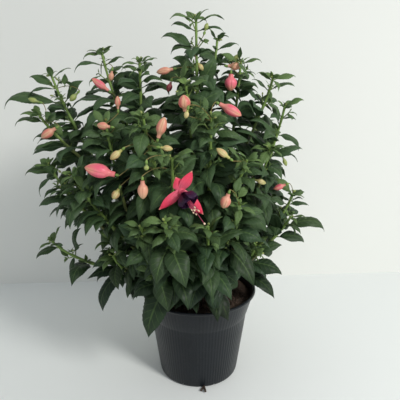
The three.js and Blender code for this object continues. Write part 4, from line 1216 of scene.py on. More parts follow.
def blade_frame(middle, across):
    """Unit vectors across the blade and out of its face, at each point of its middle line."""
    ahead = np.gradient(middle, axis=0)
    ahead /= np.linalg.norm(ahead, axis=1)[:, None]
    sideways = across - ahead * (ahead @ across)[:, None]
    sideways /= np.linalg.norm(sideways, axis=1)[:, None]
    return sideways, np.cross(ahead, sideways)


def both_sheets(upper, lower):
    """The rows of both sheets in one list; the lower one leaves out the shared long edges."""
    return np.concatenate([upper.reshape(-1, 3), lower[:, 1:-1].reshape(-1, 3)])


print("habits of a leaf:", ", ".join(HABITS))


# %% The mesh of a leaf
def leaf_mesh(line, rows, columns, habit):
    """Points, faces and finish vectors of a leaf on its line."""
    shares = np.concatenate([[0, STALK_SHARE * 0.55], np.linspace(STALK_SHARE, 1, rows - 2)])
    along = (shares - STALK_SHARE) / (1 - STALK_SHARE)
    blade = np.clip(along, 0, 1)[:, None]
    width, length = line["width"], np.linalg.norm(line["tip"] - line["root"])
    middle = bezier(line, shares)
    middle = middle + line["across"] * (habit["sway"] * length * np.sin(math.pi * shares))[:, None]
    level, upright = blade_frame(middle, -line["across"])
    turn = habit["twist"] * (blade - 0.4)
    sideways = level * np.cos(turn) + upright * np.sin(turn)
    face = upright * np.cos(turn) - level * np.sin(turn)

    half = width / 2 * np.interp(along, LEAF_OUTLINE[:, 0], LEAF_OUTLINE[:, 1])
    half[1::2] *= 1 - TOOTH * (along[1::2] > 0.1)
    half = np.maximum(half, 0.55 + 0.3 * (along < 0))  # the stalk is a little wider than a thread
    half[-1] = 0.25
    across = np.linspace(-1, 1, columns)[None]
    out = np.abs(across)
    spread = half[:, None] * across
    opening = habit["fold"] * (1.15 - 0.6 * blade)
    # Lift out of the plane: the fold and the falling edge, the puffs, the waves, the arch, the tip.
    lift = np.abs(spread) * np.sin(opening) - habit["drop"] * half[:, None] * out**3
    cushions = np.sin(math.pi * (blade - VEIN_SLANT * out) * SIDE_VEINS) ** 2 * (1 - out**3) * out**0.5
    lift = lift + 0.04 * width * cushions * np.sin(math.pi * blade) ** 0.5
    wave = np.sin(2 * math.pi * (1.6 * blade + habit["ripple"])) * across * out
    lift = lift + 0.06 * width * wave * np.sin(math.pi * blade)
    lift = lift + habit["arch"] * length * np.sin(math.pi * blade**1.4)
    lift = lift - habit["curl"] * length * np.clip(blade - 0.68, 0, 1) ** 2
    upper = middle[:, None] + sideways[:, None] * (spread * np.cos(opening))[..., None]
    upper = upper + face[:, None] * lift[..., None]
    # The lower sheet lies a little under the upper one, and deeper where the midrib and stalk are.
    keel = SHEET + 0.7 * np.exp(-((across / 0.12) ** 2)) * (1 - 0.6 * blade) * min(1, width / 14)
    keel = np.where(along[:, None] < 0.01, 1.2 * min(1, width / 12), keel)
    lower = upper - face[:, None] * keel[..., None]

    marks = np.stack(np.broadcast_arrays(along[:, None], across, 0 * spread), -1)
    marks = both_sheets(marks, marks + vec(0, 0, 1))
    growth = habit["tone"], habit["youth"], habit["cool"]
    return both_sheets(upper, lower), faces_of_sheet(rows, columns), marks, growth


one_line = leaves["crown"][0]
print("points of a large leaf:", len(leaf_mesh(one_line, 31, 9, habit_of(one_line, 0))[0]))


# %% [markdown]
# Fuchsia leaves are dark green and satin above, paler and duller below, with a light midrib. Young
# ones are a fresher yellow-green, and some leaves lean to blue. One finish can show all of them,
# because each point carries its place on the blade and its leaf's tone, youth and coolness. The tone
# is mostly the leaf's height, so the low leaves under the foliage get painted shade.

# %% The leaf's finish
def attribute(tree, name):
    """The three numbers of one of the mesh's finish vectors."""
    vector = add_node(tree, "Attribute", attribute_name=name).outputs["Vector"]
    split = add_node(tree, "SeparateXYZ", {"Vector": vector})
    return split.outputs["X"], split.outputs["Y"], split.outputs["Z"]


leaf_finish, tree, shader = new_material("leaf", Specular_IOR_Level=0.2)
along_blade, _, under = attribute(tree, "blade")
tone, youth, cool = attribute(tree, "growth")
lines = use_group(tree, veins, {"Pairs": float(SIDE_VEINS), "Slant": VEIN_SLANT})
patch = use_group(tree, patches, {"Size mm": 9.0, "Contrast": 1.3}).outputs["Patch"]
# Painted shade: the tone is mostly the leaf's height, so the low leaves take the darker green.
green = mix_colours(tree, tone, colour("161f11"), colour("445a39"))
green = mix_colours(tree, maths(tree, "MULTIPLY", cool, 0.3), green, colour("1f3a34"))
green = mix_colours(tree, maths(tree, "MULTIPLY", patch, 0.14), green, colour("45682f"))
green = mix_colours(tree, youth, green, colour("748f50"))
side_veins = maths(tree, "MULTIPLY", lines.outputs["Veins"], 0.6)
vein_share = maths(tree, "MAXIMUM", side_veins, lines.outputs["Midrib"])
green = mix_colours(tree, maths(tree, "MULTIPLY", vein_share, 0.33), green, colour("6d8a4e"))
# More painted shade: the low leaves are darkened further, by up to half, towards near black.
unshaded_share = maths(tree, "MULTIPLY_ADD", tone, 1.7, 0.5, clamp=True)
green = mix_colours(tree, unshaded_share, colour("040804"), green)  # painted shade: the low leaves under the foliage are the darkest; they are also older
stalk = maths(tree, "LESS_THAN", along_blade, 0.0)
green = mix_colours(tree, maths(tree, "MULTIPLY", stalk, 0.6), green, colour("6f8446"))
green = mix_colours(tree, maths(tree, "MULTIPLY", under, 0.5), green, colour("5c7852"))
tree.links.new(green, shader.inputs["Base Color"])

# The finish is satin above and duller below, with shallow puffs, sunken veins and fine pores.
dullness = maths(tree, "MULTIPLY_ADD", patch, 0.14, maths(tree, "MULTIPLY_ADD", under, 0.16, 0.42))
tree.links.new(dullness, shader.inputs["Roughness"])
pores = use_group(tree, grain, {"Size mm": 0.9}).outputs["Height"]
relief = maths(tree, "MULTIPLY_ADD", lines.outputs["Cushion"], 0.5, maths(tree, "MULTIPLY", pores, 0.12))
bump(tree, shader, maths(tree, "SUBTRACT", relief, vein_share), 0.0005, 0.7)
print("nodes in the leaf's finish:", len(tree.nodes))


# %% Make the leaves
def leaf_detail(line):
    """Rows and columns of points: many for a large leaf, few for a small one."""
    if line["width"] > 18:
        return 31, 9
    return (21, 7) if line["width"] > 10 else (11, 5)


for stem in STEMS:
    gathered = Gathered()
    for number, line in enumerate(leaves[stem]):
        gathered.add(*leaf_mesh(line, *leaf_detail(line), habit_of(line, number)))
    finish_piece(gathered.make("leaves_" + stem, leaf_finish), "leaf", "stem_" + stem)
print("leaves made:", sum(map(len, leaves.values())))

# %% [markdown]
# ## Stems
# Old stems are thin light-brown wood, and the year's growth is yellow-green with a swelling where
# each leaf pair sits. The swellings and the taper keep them from looking like wire.

# %% The stems' finish
stem_finish, tree, shader = new_material("stem", Roughness=0.5, Specular_IOR_Level=0.4)
_, greenness, redness = attribute(tree, "growth")
patch = use_group(tree, patches, {"Size mm": 6.0, "Contrast": 1.6}).outputs["Patch"]
wood = mix_colours(tree, patch, colour("4a3c2a"), colour("7d6848"))
shoot = mix_colours(tree, patch, colour("637f3c"), colour("83a050"))
bark = mix_colours(tree, greenness, wood, shoot)
bark = mix_colours(tree, redness, bark, colour("8a4a3a"))
tree.links.new(bark, shader.inputs["Base Color"])
bump(tree, shader, use_group(tree, grain, {"Size mm": 1.1}).outputs["Height"], 0.0003, 0.5)
print("nodes in the stems' finish:", len(tree.nodes))

# %% Make the stems, the side shoots and the bud stalks
TRUNK, BRANCH, SHOOT_TIP = 3.8, 2.8, 1.5  # radii in mm, as those below
SIDE_SHOOT = (1.0, 0.9, 0.85, 0.8, 0.75, 0.6)
BUDLET_STALK = (0.5, 0.4, 0.6)
TWIG_SIDES = 8


def twig(centres, radii, greenness, redness):
    """A stem on a line, with the numbers for its finish at each of its rings."""
    points, faces = threaded(centres, radii, TWIG_SIDES)
    rings = [np.broadcast_to(value, len(centres)) for value in (0.0, greenness, redness)]
    return points, faces, (0, 0, 0), np.repeat(np.stack(rings, -1), TWIG_SIDES, axis=0)


def stem_mesh(name):
    """A shoot that tapers to its tip, swells at its leaf pairs and grows greener on the way up."""
    line = smooth_routes[name]
    thick = BRANCH if "from" in BRANCHES[name] else TRUNK
    shares = np.linspace(0, 1, len(line))
    radii = thick + (SHOOT_TIP - thick) * shares**1.3
    for _, share in leaf_pairs(name):
        radii = radii * (1 + 0.35 * np.exp(-(((shares - share) * len(line) / 0.9) ** 2)))
    return twig(line, radii, np.clip((shares - 0.2) * 1.8, 0, 1), 0.0)


def stalk_mesh(found):
    """A bud's stalk, ending in its little ovary."""
    root = along_route(smooth_routes[found["name"]], found["share"])[0]
    line = {"root": root, "bend": found["arch"], "tip": found["joint"]}
    direction = unit(found["seat"] - found["joint"])
    ovary = [found["joint"] + direction * OVARY * t for t in (0.15, 0.35, 0.6, 0.85, 1.0)]
    centres = np.concatenate([bezier(line, np.linspace(0, 1, 11)), ovary])
    radii = [0.8] + [0.5] * 9 + [0.7, 1.15, 1.7, 1.95, 1.6, 1.15]
    return twig(centres, radii, [0.75] * 11 + [1.0] * 5, [0.45] * 11 + [0.0] * 5)


for stem in STEMS:
    gathered = Gathered()
    for name, branch in BRANCHES.items():
        if branch["stem"] == stem:
            gathered.add(*stem_mesh(name))
    for found in stalks.values():
        if BRANCHES[found["name"]]["stem"] == stem:
            gathered.add(*stalk_mesh(found))
    for start, end in side_shoots[stem]:
        bowed = {"root": start, "bend": between(start, end, 0.5) - UP * 1.5, "tip": end}
        gathered.add(*twig(bezier(bowed, np.linspace(0, 1, len(SIDE_SHOOT))), SIDE_SHOOT, 1.0, 0.1))
    for foot, start, _, _ in budlets[stem]:
        gathered.add(*twig(between(foot, start, np.array([[0], [0.5], [1.1]])), BUDLET_STALK, 1.0, 0.1))
    finish_piece(gathered.make("twigs_" + stem, stem_finish), "leaf", "stem_" + stem)
print("stems made:", len(STEMS))

# %% [markdown]
# ## Buds
# A closed bud is a slender tube that swells into four sepals, edge to edge, ending in a point. It
# is greenest when small and colours from the tube down as it ripens. Rings that are drawn in at the
# four seams give the form, and the finish draws the colour from tube to tip and a fine line there.

# %% The buds' finishes
BUD_COLOURS = {  # tube, side, tip, and the flush along the middle of each sepal
    "coral": ("d65a68", "e6607a", "e8a27c", "d8486a"),
    "peach": ("d2606a", "e2907c", "e2b48e", "cf6a64"),
    "cream": ("a9aa58", "cfc486", "b5b86a", "c2a070"),
    "red": ("6d1626", "94203a", "7d1c32", "7a162c"),
    "young": ("6f8c40", "93a855", "7d994a", "86984a"),
}


def bud_finish(kind):
    """A bud's finish: its colours from tube to tip, each sepal's flush and the seams between them."""
    tube_colour, side_colour, tip_colour, flush_colour = map(colour, BUD_COLOURS[kind])
    material, tree, shader = new_material("bud_" + kind, Roughness=0.42, Specular_IOR_Level=0.45)
    along_bud, middle, _ = attribute(tree, "blade")
    tone, pale, _ = attribute(tree, "growth")
    skin = mix_colours(tree, smooth_step(tree, along_bud, 0.1, 0.45), tube_colour, side_colour)
    skin = mix_colours(tree, smooth_step(tree, along_bud, 0.5, 1.0), skin, tip_colour)
    skin = mix_colours(tree, maths(tree, "MULTIPLY", pale, 0.6), skin, colour("c9a27c"))
    patch = use_group(tree, patches, {"Size mm": 3.5, "Contrast": 1.4}).outputs["Patch"]
    skin = mix_colours(tree, maths(tree, "MULTIPLY", patch, 0.25), skin, colour("efcfae"))
    body = smooth_step(tree, along_bud, 0.25, 0.4)
    flush = smooth_step(tree, middle, 0.35, 1.0)
    flush = maths(tree, "MULTIPLY", flush, maths(tree, "MULTIPLY", body, tone))
    skin = mix_colours(tree, flush, skin, flush_colour)
    seam = maths(tree, "SUBTRACT", 1.0, smooth_step(tree, middle, 0.0, 0.22), clamp=True)
    seam = maths(tree, "MULTIPLY", seam, body)
    skin = mix_colours(tree, maths(tree, "MULTIPLY", seam, 0.4), skin, colour("a8604e"))
    tree.links.new(skin, shader.inputs["Base Color"])
    bump(tree, shader, maths(tree, "MULTIPLY", seam, -1.0), 0.0004, 0.7)
    return material


bud_finishes = {kind: bud_finish(kind) for kind in BUD_COLOURS}
print("bud finishes:", list(bud_finishes))

# %% Make the buds
BUD_PROFILE = np.array([
    (0, 0.2), (0.15, 0.22), (0.22, 0.27), (0.3, 0.42), (0.38, 0.5), (0.48, 0.54), (0.58, 0.54),
    (0.7, 0.49), (0.82, 0.39), (0.91, 0.26), (0.97, 0.13), (1, 0.04),
])  # fmt: skip
BUD_SIDES = 24
PALE_HEIGHT = 400  # the peach buds above this height are the palest
SLIM_BUD = 15  # mm; coral buds slimmer than this are half pale


def bud_mesh(start, tip, girth, tone, pale, sides=BUD_SIDES, rings=16):
    """A closed bud: a tube that swells into four sepals with a groove at each seam."""
    shares = np.concatenate([np.linspace(0, 0.9, rings), [0.94, 0.97, 0.99, 1]])
    centres = between(start, tip, shares[:, None])
    radii = np.interp(shares, BUD_PROFILE[:, 0], BUD_PROFILE[:, 1]) * girth
    points, faces = threaded(centres, radii, sides)
    middles = np.abs(np.sin(2 * np.arange(sides) / sides * 2 * math.pi))  # 1 mid-sepal, 0 at a seam
    swell = np.clip((shares - 0.25) * 4, 0, 1)[:, None]
    pull = 1 - 0.09 * swell * (1 - middles[None]) ** 2
    inside = np.repeat(centres, sides, axis=0)
    points = inside + (points - inside) * pull.reshape(-1, 1)
    marks = np.stack(np.broadcast_arrays(shares[:, None], middles[None], 0), -1)
    return points, faces, marks.reshape(-1, 3), (tone, pale, 0)


for number, (name, bud) in enumerate(BUDS.items()):
    start, tip, _ = bud_line(bud)
    girth, kind, pale = bud[2], bud[3], 0.0
    if kind == "peach":
        pale = 1.0 if start[2] > PALE_HEIGHT else 0.3 + 0.7 * next(draws(number, 8))
    if kind == "coral" and girth < SLIM_BUD:
        pale = 0.5
    gathered = Gathered()
    gathered.add(*bud_mesh(start, tip, girth, next(draws(number, 3)), pale))
    finish_piece(gathered.make("petals_" + name, bud_finishes[kind]), "bud_" + kind, name)
for name, bud in YOUNG_BUDS.items():
    start, tip, _ = bud_line(bud)
    budlets[BRANCHES[stalks[name]["name"]]["stem"]].append((start, start, tip, bud[2]))
for stem in STEMS:
    gathered = Gathered()
    for _, start, tip, girth in budlets[stem]:
        gathered.add(*bud_mesh(start, tip, girth, 0.6, 0.0, sides=12, rings=9))
    if budlets[stem]:
        finish_piece(gathered.make("budlets_" + stem, bud_finishes["young"]), "leaf", "stem_" + stem)
print("buds made:", len(BUDS), "and", sum(map(len, budlets.values())), "green ones")

# %% [markdown]
# ## The open flower
# Four coral sepals spread from the end of the tube, and a small full skirt of dark purple petals
# opens below them. Pink stamens and a longer pistil hang out of it. The sepals are thick smooth
# blades, so the two joined sheets of a leaf serve again, without teeth or veins. The petals are
# cupped round the flower's axis and overlap.

# %% The flower's finishes
def petal_finish(name, inner, outer, streak, tip, roughness):
    """A petal's colour from its foot to its end, with fine streaks that run along it."""
    material, tree, shader = new_material(name, Roughness=roughness, Specular_IOR_Level=0.4)
    blade = add_node(tree, "Attribute", attribute_name="blade").outputs["Vector"]
    along_petal, _, _ = attribute(tree, "blade")
    combed = add_node(tree, "Mapping", {"Vector": blade, "Scale": (1.2, 9.0, 1.0)})
    combing = {"Vector": combed.outputs[0], "Scale": 2.0, "Detail": 3.0}
    streaks = add_node(tree, "TexNoise", combing).outputs[0]
    body = mix_colours(tree, smooth_step(tree, along_petal, 0.0, 0.8), colour(inner), colour(outer))
    body = mix_colours(tree, smooth_step(tree, streaks, 0.46, 0.72), body, colour(streak))
    body = mix_colours(tree, smooth_step(tree, along_petal, 0.9, 1.0), body, colour(tip))
    tree.links.new(body, shader.inputs["Base Color"])
    bump(tree, shader, streaks, 0.0006, 0.6)
    return material


sepal_finish = petal_finish("sepal", "de6a80", "e8405e", "cf2c4e", "e8a48c", 0.42)
corolla_finish = petal_finish("corolla", "5c1238", "240a30", "4a0f2e", "2c0c38", 0.5)
stamen_finish = petal_finish("stamen", "9c3450", "d8889a", "b8607a", "ead0b0", 0.45)
print("flower finishes:", sepal_finish.name, corolla_finish.name, stamen_finish.name)

# %% Make the sepals with their tube
SEPAL_OUTLINE = np.array([
    (0, 0.5), (0.1, 0.62), (0.25, 0.86), (0.4, 1.0), (0.55, 0.97), (0.7, 0.8), (0.82, 0.55),
    (0.92, 0.27), (0.98, 0.09), (1, 0.03),
])  # fmt: skip
TUBE_RADII = (2.1, 2.6, 2.7, 2.7, 2.8, 3.0, 3.5, 4.1, 4.5)
TUBE_SIDES = 20


def ring_marks(shares, sides):
    """The `blade` numbers of rings of points, each ring at a share of the way along."""
    along = np.repeat(shares, sides)
    return np.stack([along, 0 * along, 0 * along], -1)


def petal_sheet(line, rows, columns, outline, cup, thick, curl=0.0, frill=0.0, phase=0.0):
    """A smooth closed petal: `cup` bends its sides up, `curl` its end back, `frill` ripples its edge."""
    shares = np.linspace(0, 1, rows)
    middle = bezier(line, shares)
    sideways, face = blade_frame(middle, line["across"])
    across = np.linspace(-1, 1, columns)
    half = line["width"] / 2 * np.interp(shares, outline[:, 0], outline[:, 1])
    spread = half[:, None] * across[None]
    blade = shares[:, None]
    lift = cup * line["width"] * 0.5 * (across[None] ** 2) * np.sin(math.pi * np.clip(blade, 0.1, 1))
    lift = lift - curl * line["width"] * np.clip(blade - 0.6, 0, 1) ** 2
    ripples = np.sin(2 * math.pi * (2.2 * across[None] + phase)) * np.clip(blade - 0.4, 0, 1) ** 1.5
    edge_ripples = np.sin(2 * math.pi * (2.5 * blade + phase)) * np.abs(across[None]) ** 3
    lift = lift + frill * line["width"] * (ripples + 0.6 * edge_ripples)
    upper = middle[:, None] + sideways[:, None] * spread[..., None] + face[:, None] * lift[..., None]
    thickness = thick * (1 - 0.75 * across[None] ** 4) * (1 - 0.5 * blade)
    lower = upper - face[:, None] * thickness[..., None]
    marks = np.stack(np.broadcast_arrays(blade, across[None], 0 * blade), -1)
    return both_sheets(upper, lower), faces_of_sheet(rows, columns), both_sheets(marks, marks)


mouth, facing, start = FLOWER["mouth"], FLOWER["facing"], FLOWER["start"]
gathered = Gathered()
tube_shares = np.linspace(0, 1, len(TUBE_RADII))
points, faces = threaded(between(start, mouth, tube_shares[:, None]), TUBE_RADII, TUBE_SIDES)
gathered.add(points, faces, ring_marks(tube_shares * 0.3, TUBE_SIDES))
for i, tip in enumerate(FLOWER["sepal_tips"]):
    root = mouth - facing * 3.5
    bend = between(root, tip, 0.45) + facing * 5
    across = unit(np.cross(tip - root, facing + vec(0, -0.8, 0)))
    line = {"root": root, "bend": bend, "tip": tip, "across": across, "width": FLOWER["sepal_width"]}
    gathered.add(*petal_sheet(line, 18, 9, SEPAL_OUTLINE, 0.22, 1.1, curl=0.5, frill=0.01, phase=i * 0.3))
finish_piece(gathered.make("open_sepals", sepal_finish), "sepals", "flower_sepals")
print("sepals made:", len(FLOWER["sepal_tips"]))

# %% Make the skirt of petals
PETAL_OUTLINE = np.array([
    (0, 0.3), (0.2, 0.5), (0.4, 0.74), (0.6, 0.92), (0.78, 1.0), (0.9, 0.93), (0.97, 0.72), (1, 0.5),
])  # fmt: skip
# (number of petals, share of the skirt's radius, share of its length, turn as a share of one petal)
PETAL_RINGS = [(4, 1.0, 1.0, 0.0), (5, 0.72, 1.0, 0.5), (4, 0.42, 0.95, 0.2)]
OVERLAP = 2.1  # the petals of a ring together against half its circle

gathered = Gathered()
sideways = unit(np.cross(facing, UP))
for ring, (count, wide, deep, turn_by) in enumerate(PETAL_RINGS):
    for i in range(count):
        outward = turned(sideways, facing, (i + turn_by) / count * 2 * math.pi)
        root = mouth + facing * 2
        spread = FLOWER["skirt_radius"] * wide * 0.72
        tip = mouth + facing * FLOWER["skirt"] * deep + outward * spread
        bend = between(root, tip, 0.5) + outward * spread * 0.62
        line = {"root": root, "bend": bend, "tip": tip, "width": OVERLAP * math.pi * spread / count}
        line["across"] = np.cross(facing, outward)
        phase = ring * 0.37 + i * 0.21
        gathered.add(*petal_sheet(line, 14, 11, PETAL_OUTLINE, -0.35, 0.4, frill=0.05, phase=phase))
finish_piece(gathered.make("skirt_petals", corolla_finish), "corolla", "flower_corolla")
print("skirt petals made:", sum(ring[0] for ring in PETAL_RINGS))

# %% Make the stamens and the pistil
STAMENS, STAMEN_LENGTHS = 8, (27, 30, 33)
THREAD_START = 7  # mm from the tube's mouth, inside the skirt
THREAD_RADIUS, THREAD_POINTS, THREAD_SIDES = 0.42, 9, 8

gathered = Gathered()
foot = mouth + facing * THREAD_START
for i in range(STAMENS + 1):
    pistil = i == STAMENS
    outward = turned(sideways, facing, i / STAMENS * 2 * math.pi + 0.2)
    reach = (FLOWER["pistil"] if pistil else STAMEN_LENGTHS[i % 3]) - THREAD_START
    end = foot + facing * reach + outward * (0 if pistil else 3.4) - UP * (2.0 if pistil else 1.0)
    bend = between(foot, end, 0.5) + outward * (0 if pistil else 1.5)
    thread = bezier({"root": foot, "bend": bend, "tip": end}, np.linspace(0, 1, THREAD_POINTS))
    points, faces = threaded(thread, [THREAD_RADIUS] * THREAD_POINTS, THREAD_SIDES)
    gathered.add(points, faces, ring_marks(np.linspace(0, 0.2, THREAD_POINTS), THREAD_SIDES))
    head = [end + facing * t for t in (-0.3, 0.3, 1.2, 2.2, 2.6)]
    swell = [0.4, 1.0, 1.35, 1.0, 0.3] if pistil else [0.4, 0.75, 0.9, 0.7, 0.3]
    points, faces = threaded(np.array(head), swell, 10)
    gathered.add(points, faces, (1.0, 0, 0))
finish_piece(gathered.make("stamens_and_pistil", stamen_finish), "stamens", "flower_stamens")
print("stamens made:", STAMENS, "and a pistil")

# %% [markdown]
# ## The pot
# A nursery pot is pressed from thin dark plastic: a flared collar under a rolled lip, and below it a
# body with fine upright ribs, which are fainter on the collar. The ribs are real ridges here, because
# they show in the pot's silhouette and catch the light, and a bump would be flat at the edge. The
# profile is turned round the axis with four points to a rib.

# %% Turn the pot
POT = {
    "rim": POT_RIM, "lip": 2.6, "lip_height": 4.0, "collar": 81.0, "collar_height": 110.0,
    "foot": 66.0, "wall": 1.8,
}  # fmt: skip
RIBS, POINTS_PER_RIB, RIB_HEIGHT = 96, 4, 0.5


def pot_radius(z):
    """The radius of the pot's outside at a height, without its lip and ribs."""
    if z <= POT["collar_height"]:
        return POT["foot"] + (POT["collar"] - POT["foot"]) * z / POT["collar_height"]
    share = (z - POT["collar_height"]) / (POT_HEIGHT - POT["collar_height"])
    return POT["collar"] + (POT["rim"] - POT["lip"] - POT["collar"]) * share**0.9


def pot_profile():
    """(radius, height, ribs from 0 to 1) down the inside and up the outside of the pot."""
    inside = (3, 6, 12, 40, 80, 110, 118, 128, 140, 148)
    rows = [(pot_radius(z) - POT["wall"], z, 0) for z in inside]
    lip_z = POT_HEIGHT - POT["lip_height"]
    rows += [(POT["rim"] - 3.6, 149.4, 0), (POT["rim"] - 2.6, 150, 0), (POT["rim"] - 0.9, 149.9, 0)]
    rows += [(POT["rim"] - 0.2, 149.2, 0), (POT["rim"], 148, 0), (POT["rim"], lip_z + 1, 0)]
    rows += [(POT["rim"] - 0.6, lip_z + 0.2, 0), (pot_radius(lip_z) + 0.3, lip_z, 0)]
    for z in (144, 140, 130, 120, 114, 111, 110.2):
        rows.append((pot_radius(z) - 0.1, z, {144: 0.1, 140: 0.5}.get(z, 0.6)))
    rows += [(pot_radius(109) - 0.3, 109, 0.6), (pot_radius(107) - 0.6, 107, 0.9)]
    for z in (90, 70, 50, 30, 16, 9):
        rows.append((pot_radius(z) - 0.6, z, 1))
    for step in range(5):  # the rounding of the foot, 4 mm in radius
        turn = step / 4 * math.pi / 2
        inward, z = 4 * (1 - math.cos(turn)), 4 * (1 - math.sin(turn))
        rows.append((POT["foot"] - inward - 0.2, z, 0.8 - 0.2 * step))
    return rows + [(40.0, 0.0, 0)]


def level_ring(turns, reach, z):
    """A ring of points round the pot's axis at one height."""
    return np.stack([np.cos(turns) * reach, np.sin(turns) * reach, np.full(len(turns), z)], -1)


sides = RIBS * POINTS_PER_RIB
turns = turns_round(sides)
ridge = np.array([0.0, 0.75, 1.0, 0.75])[np.arange(sides) % POINTS_PER_RIB] * RIB_HEIGHT
profile = pot_profile()
points = np.concatenate([level_ring(turns, radius + ridge * ribbed, z) for radius, z, ribbed in profile])
# The profile starts inside the pot, so all faces are turned over to look outwards.
faces = [(a, d, c, b) for a, b, c, d in band_faces(len(profile), sides)]
faces += [end[::-1] for end in end_faces(len(profile), sides)]
gathered = Gathered()
gathered.add(points, faces)
print("points of the pot:", len(points))

# %% [markdown]
# The plastic is charcoal, satin and a little dusty, with the faint mottling of recycled stock. Dust
# and dried water leave it paler in soft patches, so roughness and colour change together.

# %% The pot's finish
pot_finish, tree, shader = new_material("pot", Specular_IOR_Level=0.3)
patch = use_group(tree, patches, {"Size mm": 28.0, "Contrast": 1.4}).outputs["Patch"]
specks = use_group(tree, patches, {"Size mm": 1.6, "Contrast": 2.0}).outputs["Patch"]
plastic = mix_colours(tree, patch, colour("0c1115"), colour("151a20"))
dust = maths(tree, "MULTIPLY", smooth_step(tree, specks, 0.62, 0.9), 0.2)
plastic = mix_colours(tree, dust, plastic, colour("5c5c58"))
tree.links.new(plastic, shader.inputs["Base Color"])
tree.links.new(maths(tree, "MULTIPLY_ADD", patch, 0.16, 0.24), shader.inputs["Roughness"])
bump(tree, shader, use_group(tree, grain, {"Size mm": 0.8}).outputs["Height"], 0.00015, 0.35)
pot = gathered.make("ribbed_pot", pot_finish, sharp=50)
print("nodes in the pot's finish:", len(tree.nodes))

# %% Cut the drain holes
DRAIN_HOLES, DRAIN_RADIUS = 8, 5.0
cutters = Gathered()
for i in range(DRAIN_HOLES):
    turn = (i + 0.5) / DRAIN_HOLES * 2 * math.pi
    seat = POT["foot"] - DRAIN_RADIUS
    middle = vec(seat * math.cos(turn), seat * math.sin(turn), 0)
    cutters.add(*threaded(np.array([middle - UP * 7, middle + UP * 7]), [DRAIN_RADIUS] * 2, 20))
cutter = cutters.make("drain_cutter", pot_finish)
cut = pot.modifiers.new("drain", "BOOLEAN")
cut.object, cut.operation, cut.solver = cutter, "DIFFERENCE", "EXACT"
bpy.context.view_layer.objects.active = pot
bpy.ops.object.modifier_apply(modifier=cut.name)
bpy.data.objects.remove(cutter)
finish_piece(pot, "pot", "pot")
print("pot faces:", len(pot.data.polygons))

# %% [markdown]
# ## The compost
# Potting compost is dark brown, crumbly and uneven, with bits of bark and a few pale fibres. A
# bumpy surface alone looks like mud, so loose crumbs lie on it as small lumps of their own.

# %% The compost's finish
compost_finish, tree, shader = new_material("compost", Roughness=0.92, Specular_IOR_Level=0.2)
patch = use_group(tree, patches, {"Size mm": 5.0, "Contrast": 2.2}).outputs["Patch"]
fine = use_group(tree, patches, {"Size mm": 1.2, "Contrast": 2.4}).outputs["Patch"]
soil = mix_colours(tree, patch, colour("231b17"), colour("54443a"))
flecks = maths(tree, "MULTIPLY", smooth_step(tree, fine, 0.65, 0.95), 0.6)
soil = mix_colours(tree, flecks, soil, colour("93806c"))
tree.links.new(soil, shader.inputs["Base Color"])
bump(tree, shader, fine, 0.0012, 0.8)
print("nodes in the compost's finish:", len(tree.nodes))

# %% The body of the compost
COMPOST_DOME, COMPOST_GAP = 5.0, 0.5  # how far it bulges, and its gap to the pot's wall
COMPOST_SIDES = 72
COMPOST_RINGS = (1.0, 0.94, 0.86, 0.76, 0.64, 0.52, 0.4, 0.28, 0.14)  # shares of its radius


def compost_height(x, y):
    """The height of the compost's surface: a low dome with shallow waves."""
    reach = np.hypot(x, y) / (pot_radius(COMPOST_TOP) - POT["wall"])
    swell = COMPOST_DOME * (1 - reach)
    rough = 1.2 * np.sin(x * 0.21 + 1.3) * np.cos(y * 0.17) + 0.8 * np.sin(x * 0.53 + y * 0.41)
    return COMPOST_TOP + swell + rough * np.clip((1 - reach) * 6, 0, 1)


def compost_body():
    """A closed body that fills the pot, with the rough surface on top."""
    turns = turns_round(COMPOST_SIDES)
    walls = [(pot_radius(z) - POT["wall"] - COMPOST_GAP, z) for z in (3.4, 60, 110)]
    edge = pot_radius(COMPOST_TOP) - POT["wall"] - COMPOST_GAP
    rings = [level_ring(turns, radius, z) for radius, z in walls]
    for share in COMPOST_RINGS:
        x, y = np.cos(turns) * edge * share, np.sin(turns) * edge * share
        rings.append(np.stack([x, y, compost_height(x, y)], -1))
    faces = band_faces(len(rings), COMPOST_SIDES) + end_faces(len(rings), COMPOST_SIDES)
    return np.concatenate(rings), faces


print("points of the compost's body:", len(compost_body()[0]))

# %% Make the compost with its crumbs and two small roots
CRUMBS, CRUMB_REACH, CRUMB_SIDES = 900, 78, 6
CRUMB_SIZES = {1.2: 0.45, 1.8: 0.32, 2.6: 0.17, 3.6: 0.06}  # mm, and the share of crumbs of that size
SMALL_ROOTS = ((vec(8, -62, 2.4), vec(11, -79, 3.4)), (vec(9, -66, 2.4), vec(4, -76, 2.6)))


def crumb(centre, size, stretch):
    """A lumpy little body of two rough rings between two points."""
    turns = turns_round(CRUMB_SIDES)
    rough = pick.uniform(0.7, 1.15, (2, CRUMB_SIDES))
    x, y = np.cos(turns) * rough * stretch, np.sin(turns) * rough
    low_ring = np.stack([x[0], y[0], np.full(CRUMB_SIDES, -0.35)], -1)
    high_ring = np.stack([x[1] * 0.8, y[1] * 0.8, np.full(CRUMB_SIDES, 0.35)], -1)
    local = np.concatenate([[(0, 0, -0.7)], low_ring, high_ring, [(0, 0, 0.75)]]) * size
    angle = pick.uniform(0, 2 * math.pi)
    spin = [turned(axis, UP, angle) for axis in np.eye(3)]
    low, high, top = 1, 1 + CRUMB_SIDES, 1 + 2 * CRUMB_SIDES
    faces = []
    for k in range(CRUMB_SIDES):
        n = (k + 1) % CRUMB_SIDES
        faces += [(0, low + n, low + k), (low + k, low + n, high + n, high + k)]
        faces.append((top, high + k, high + n))
    return local @ np.array(spin) + centre, faces


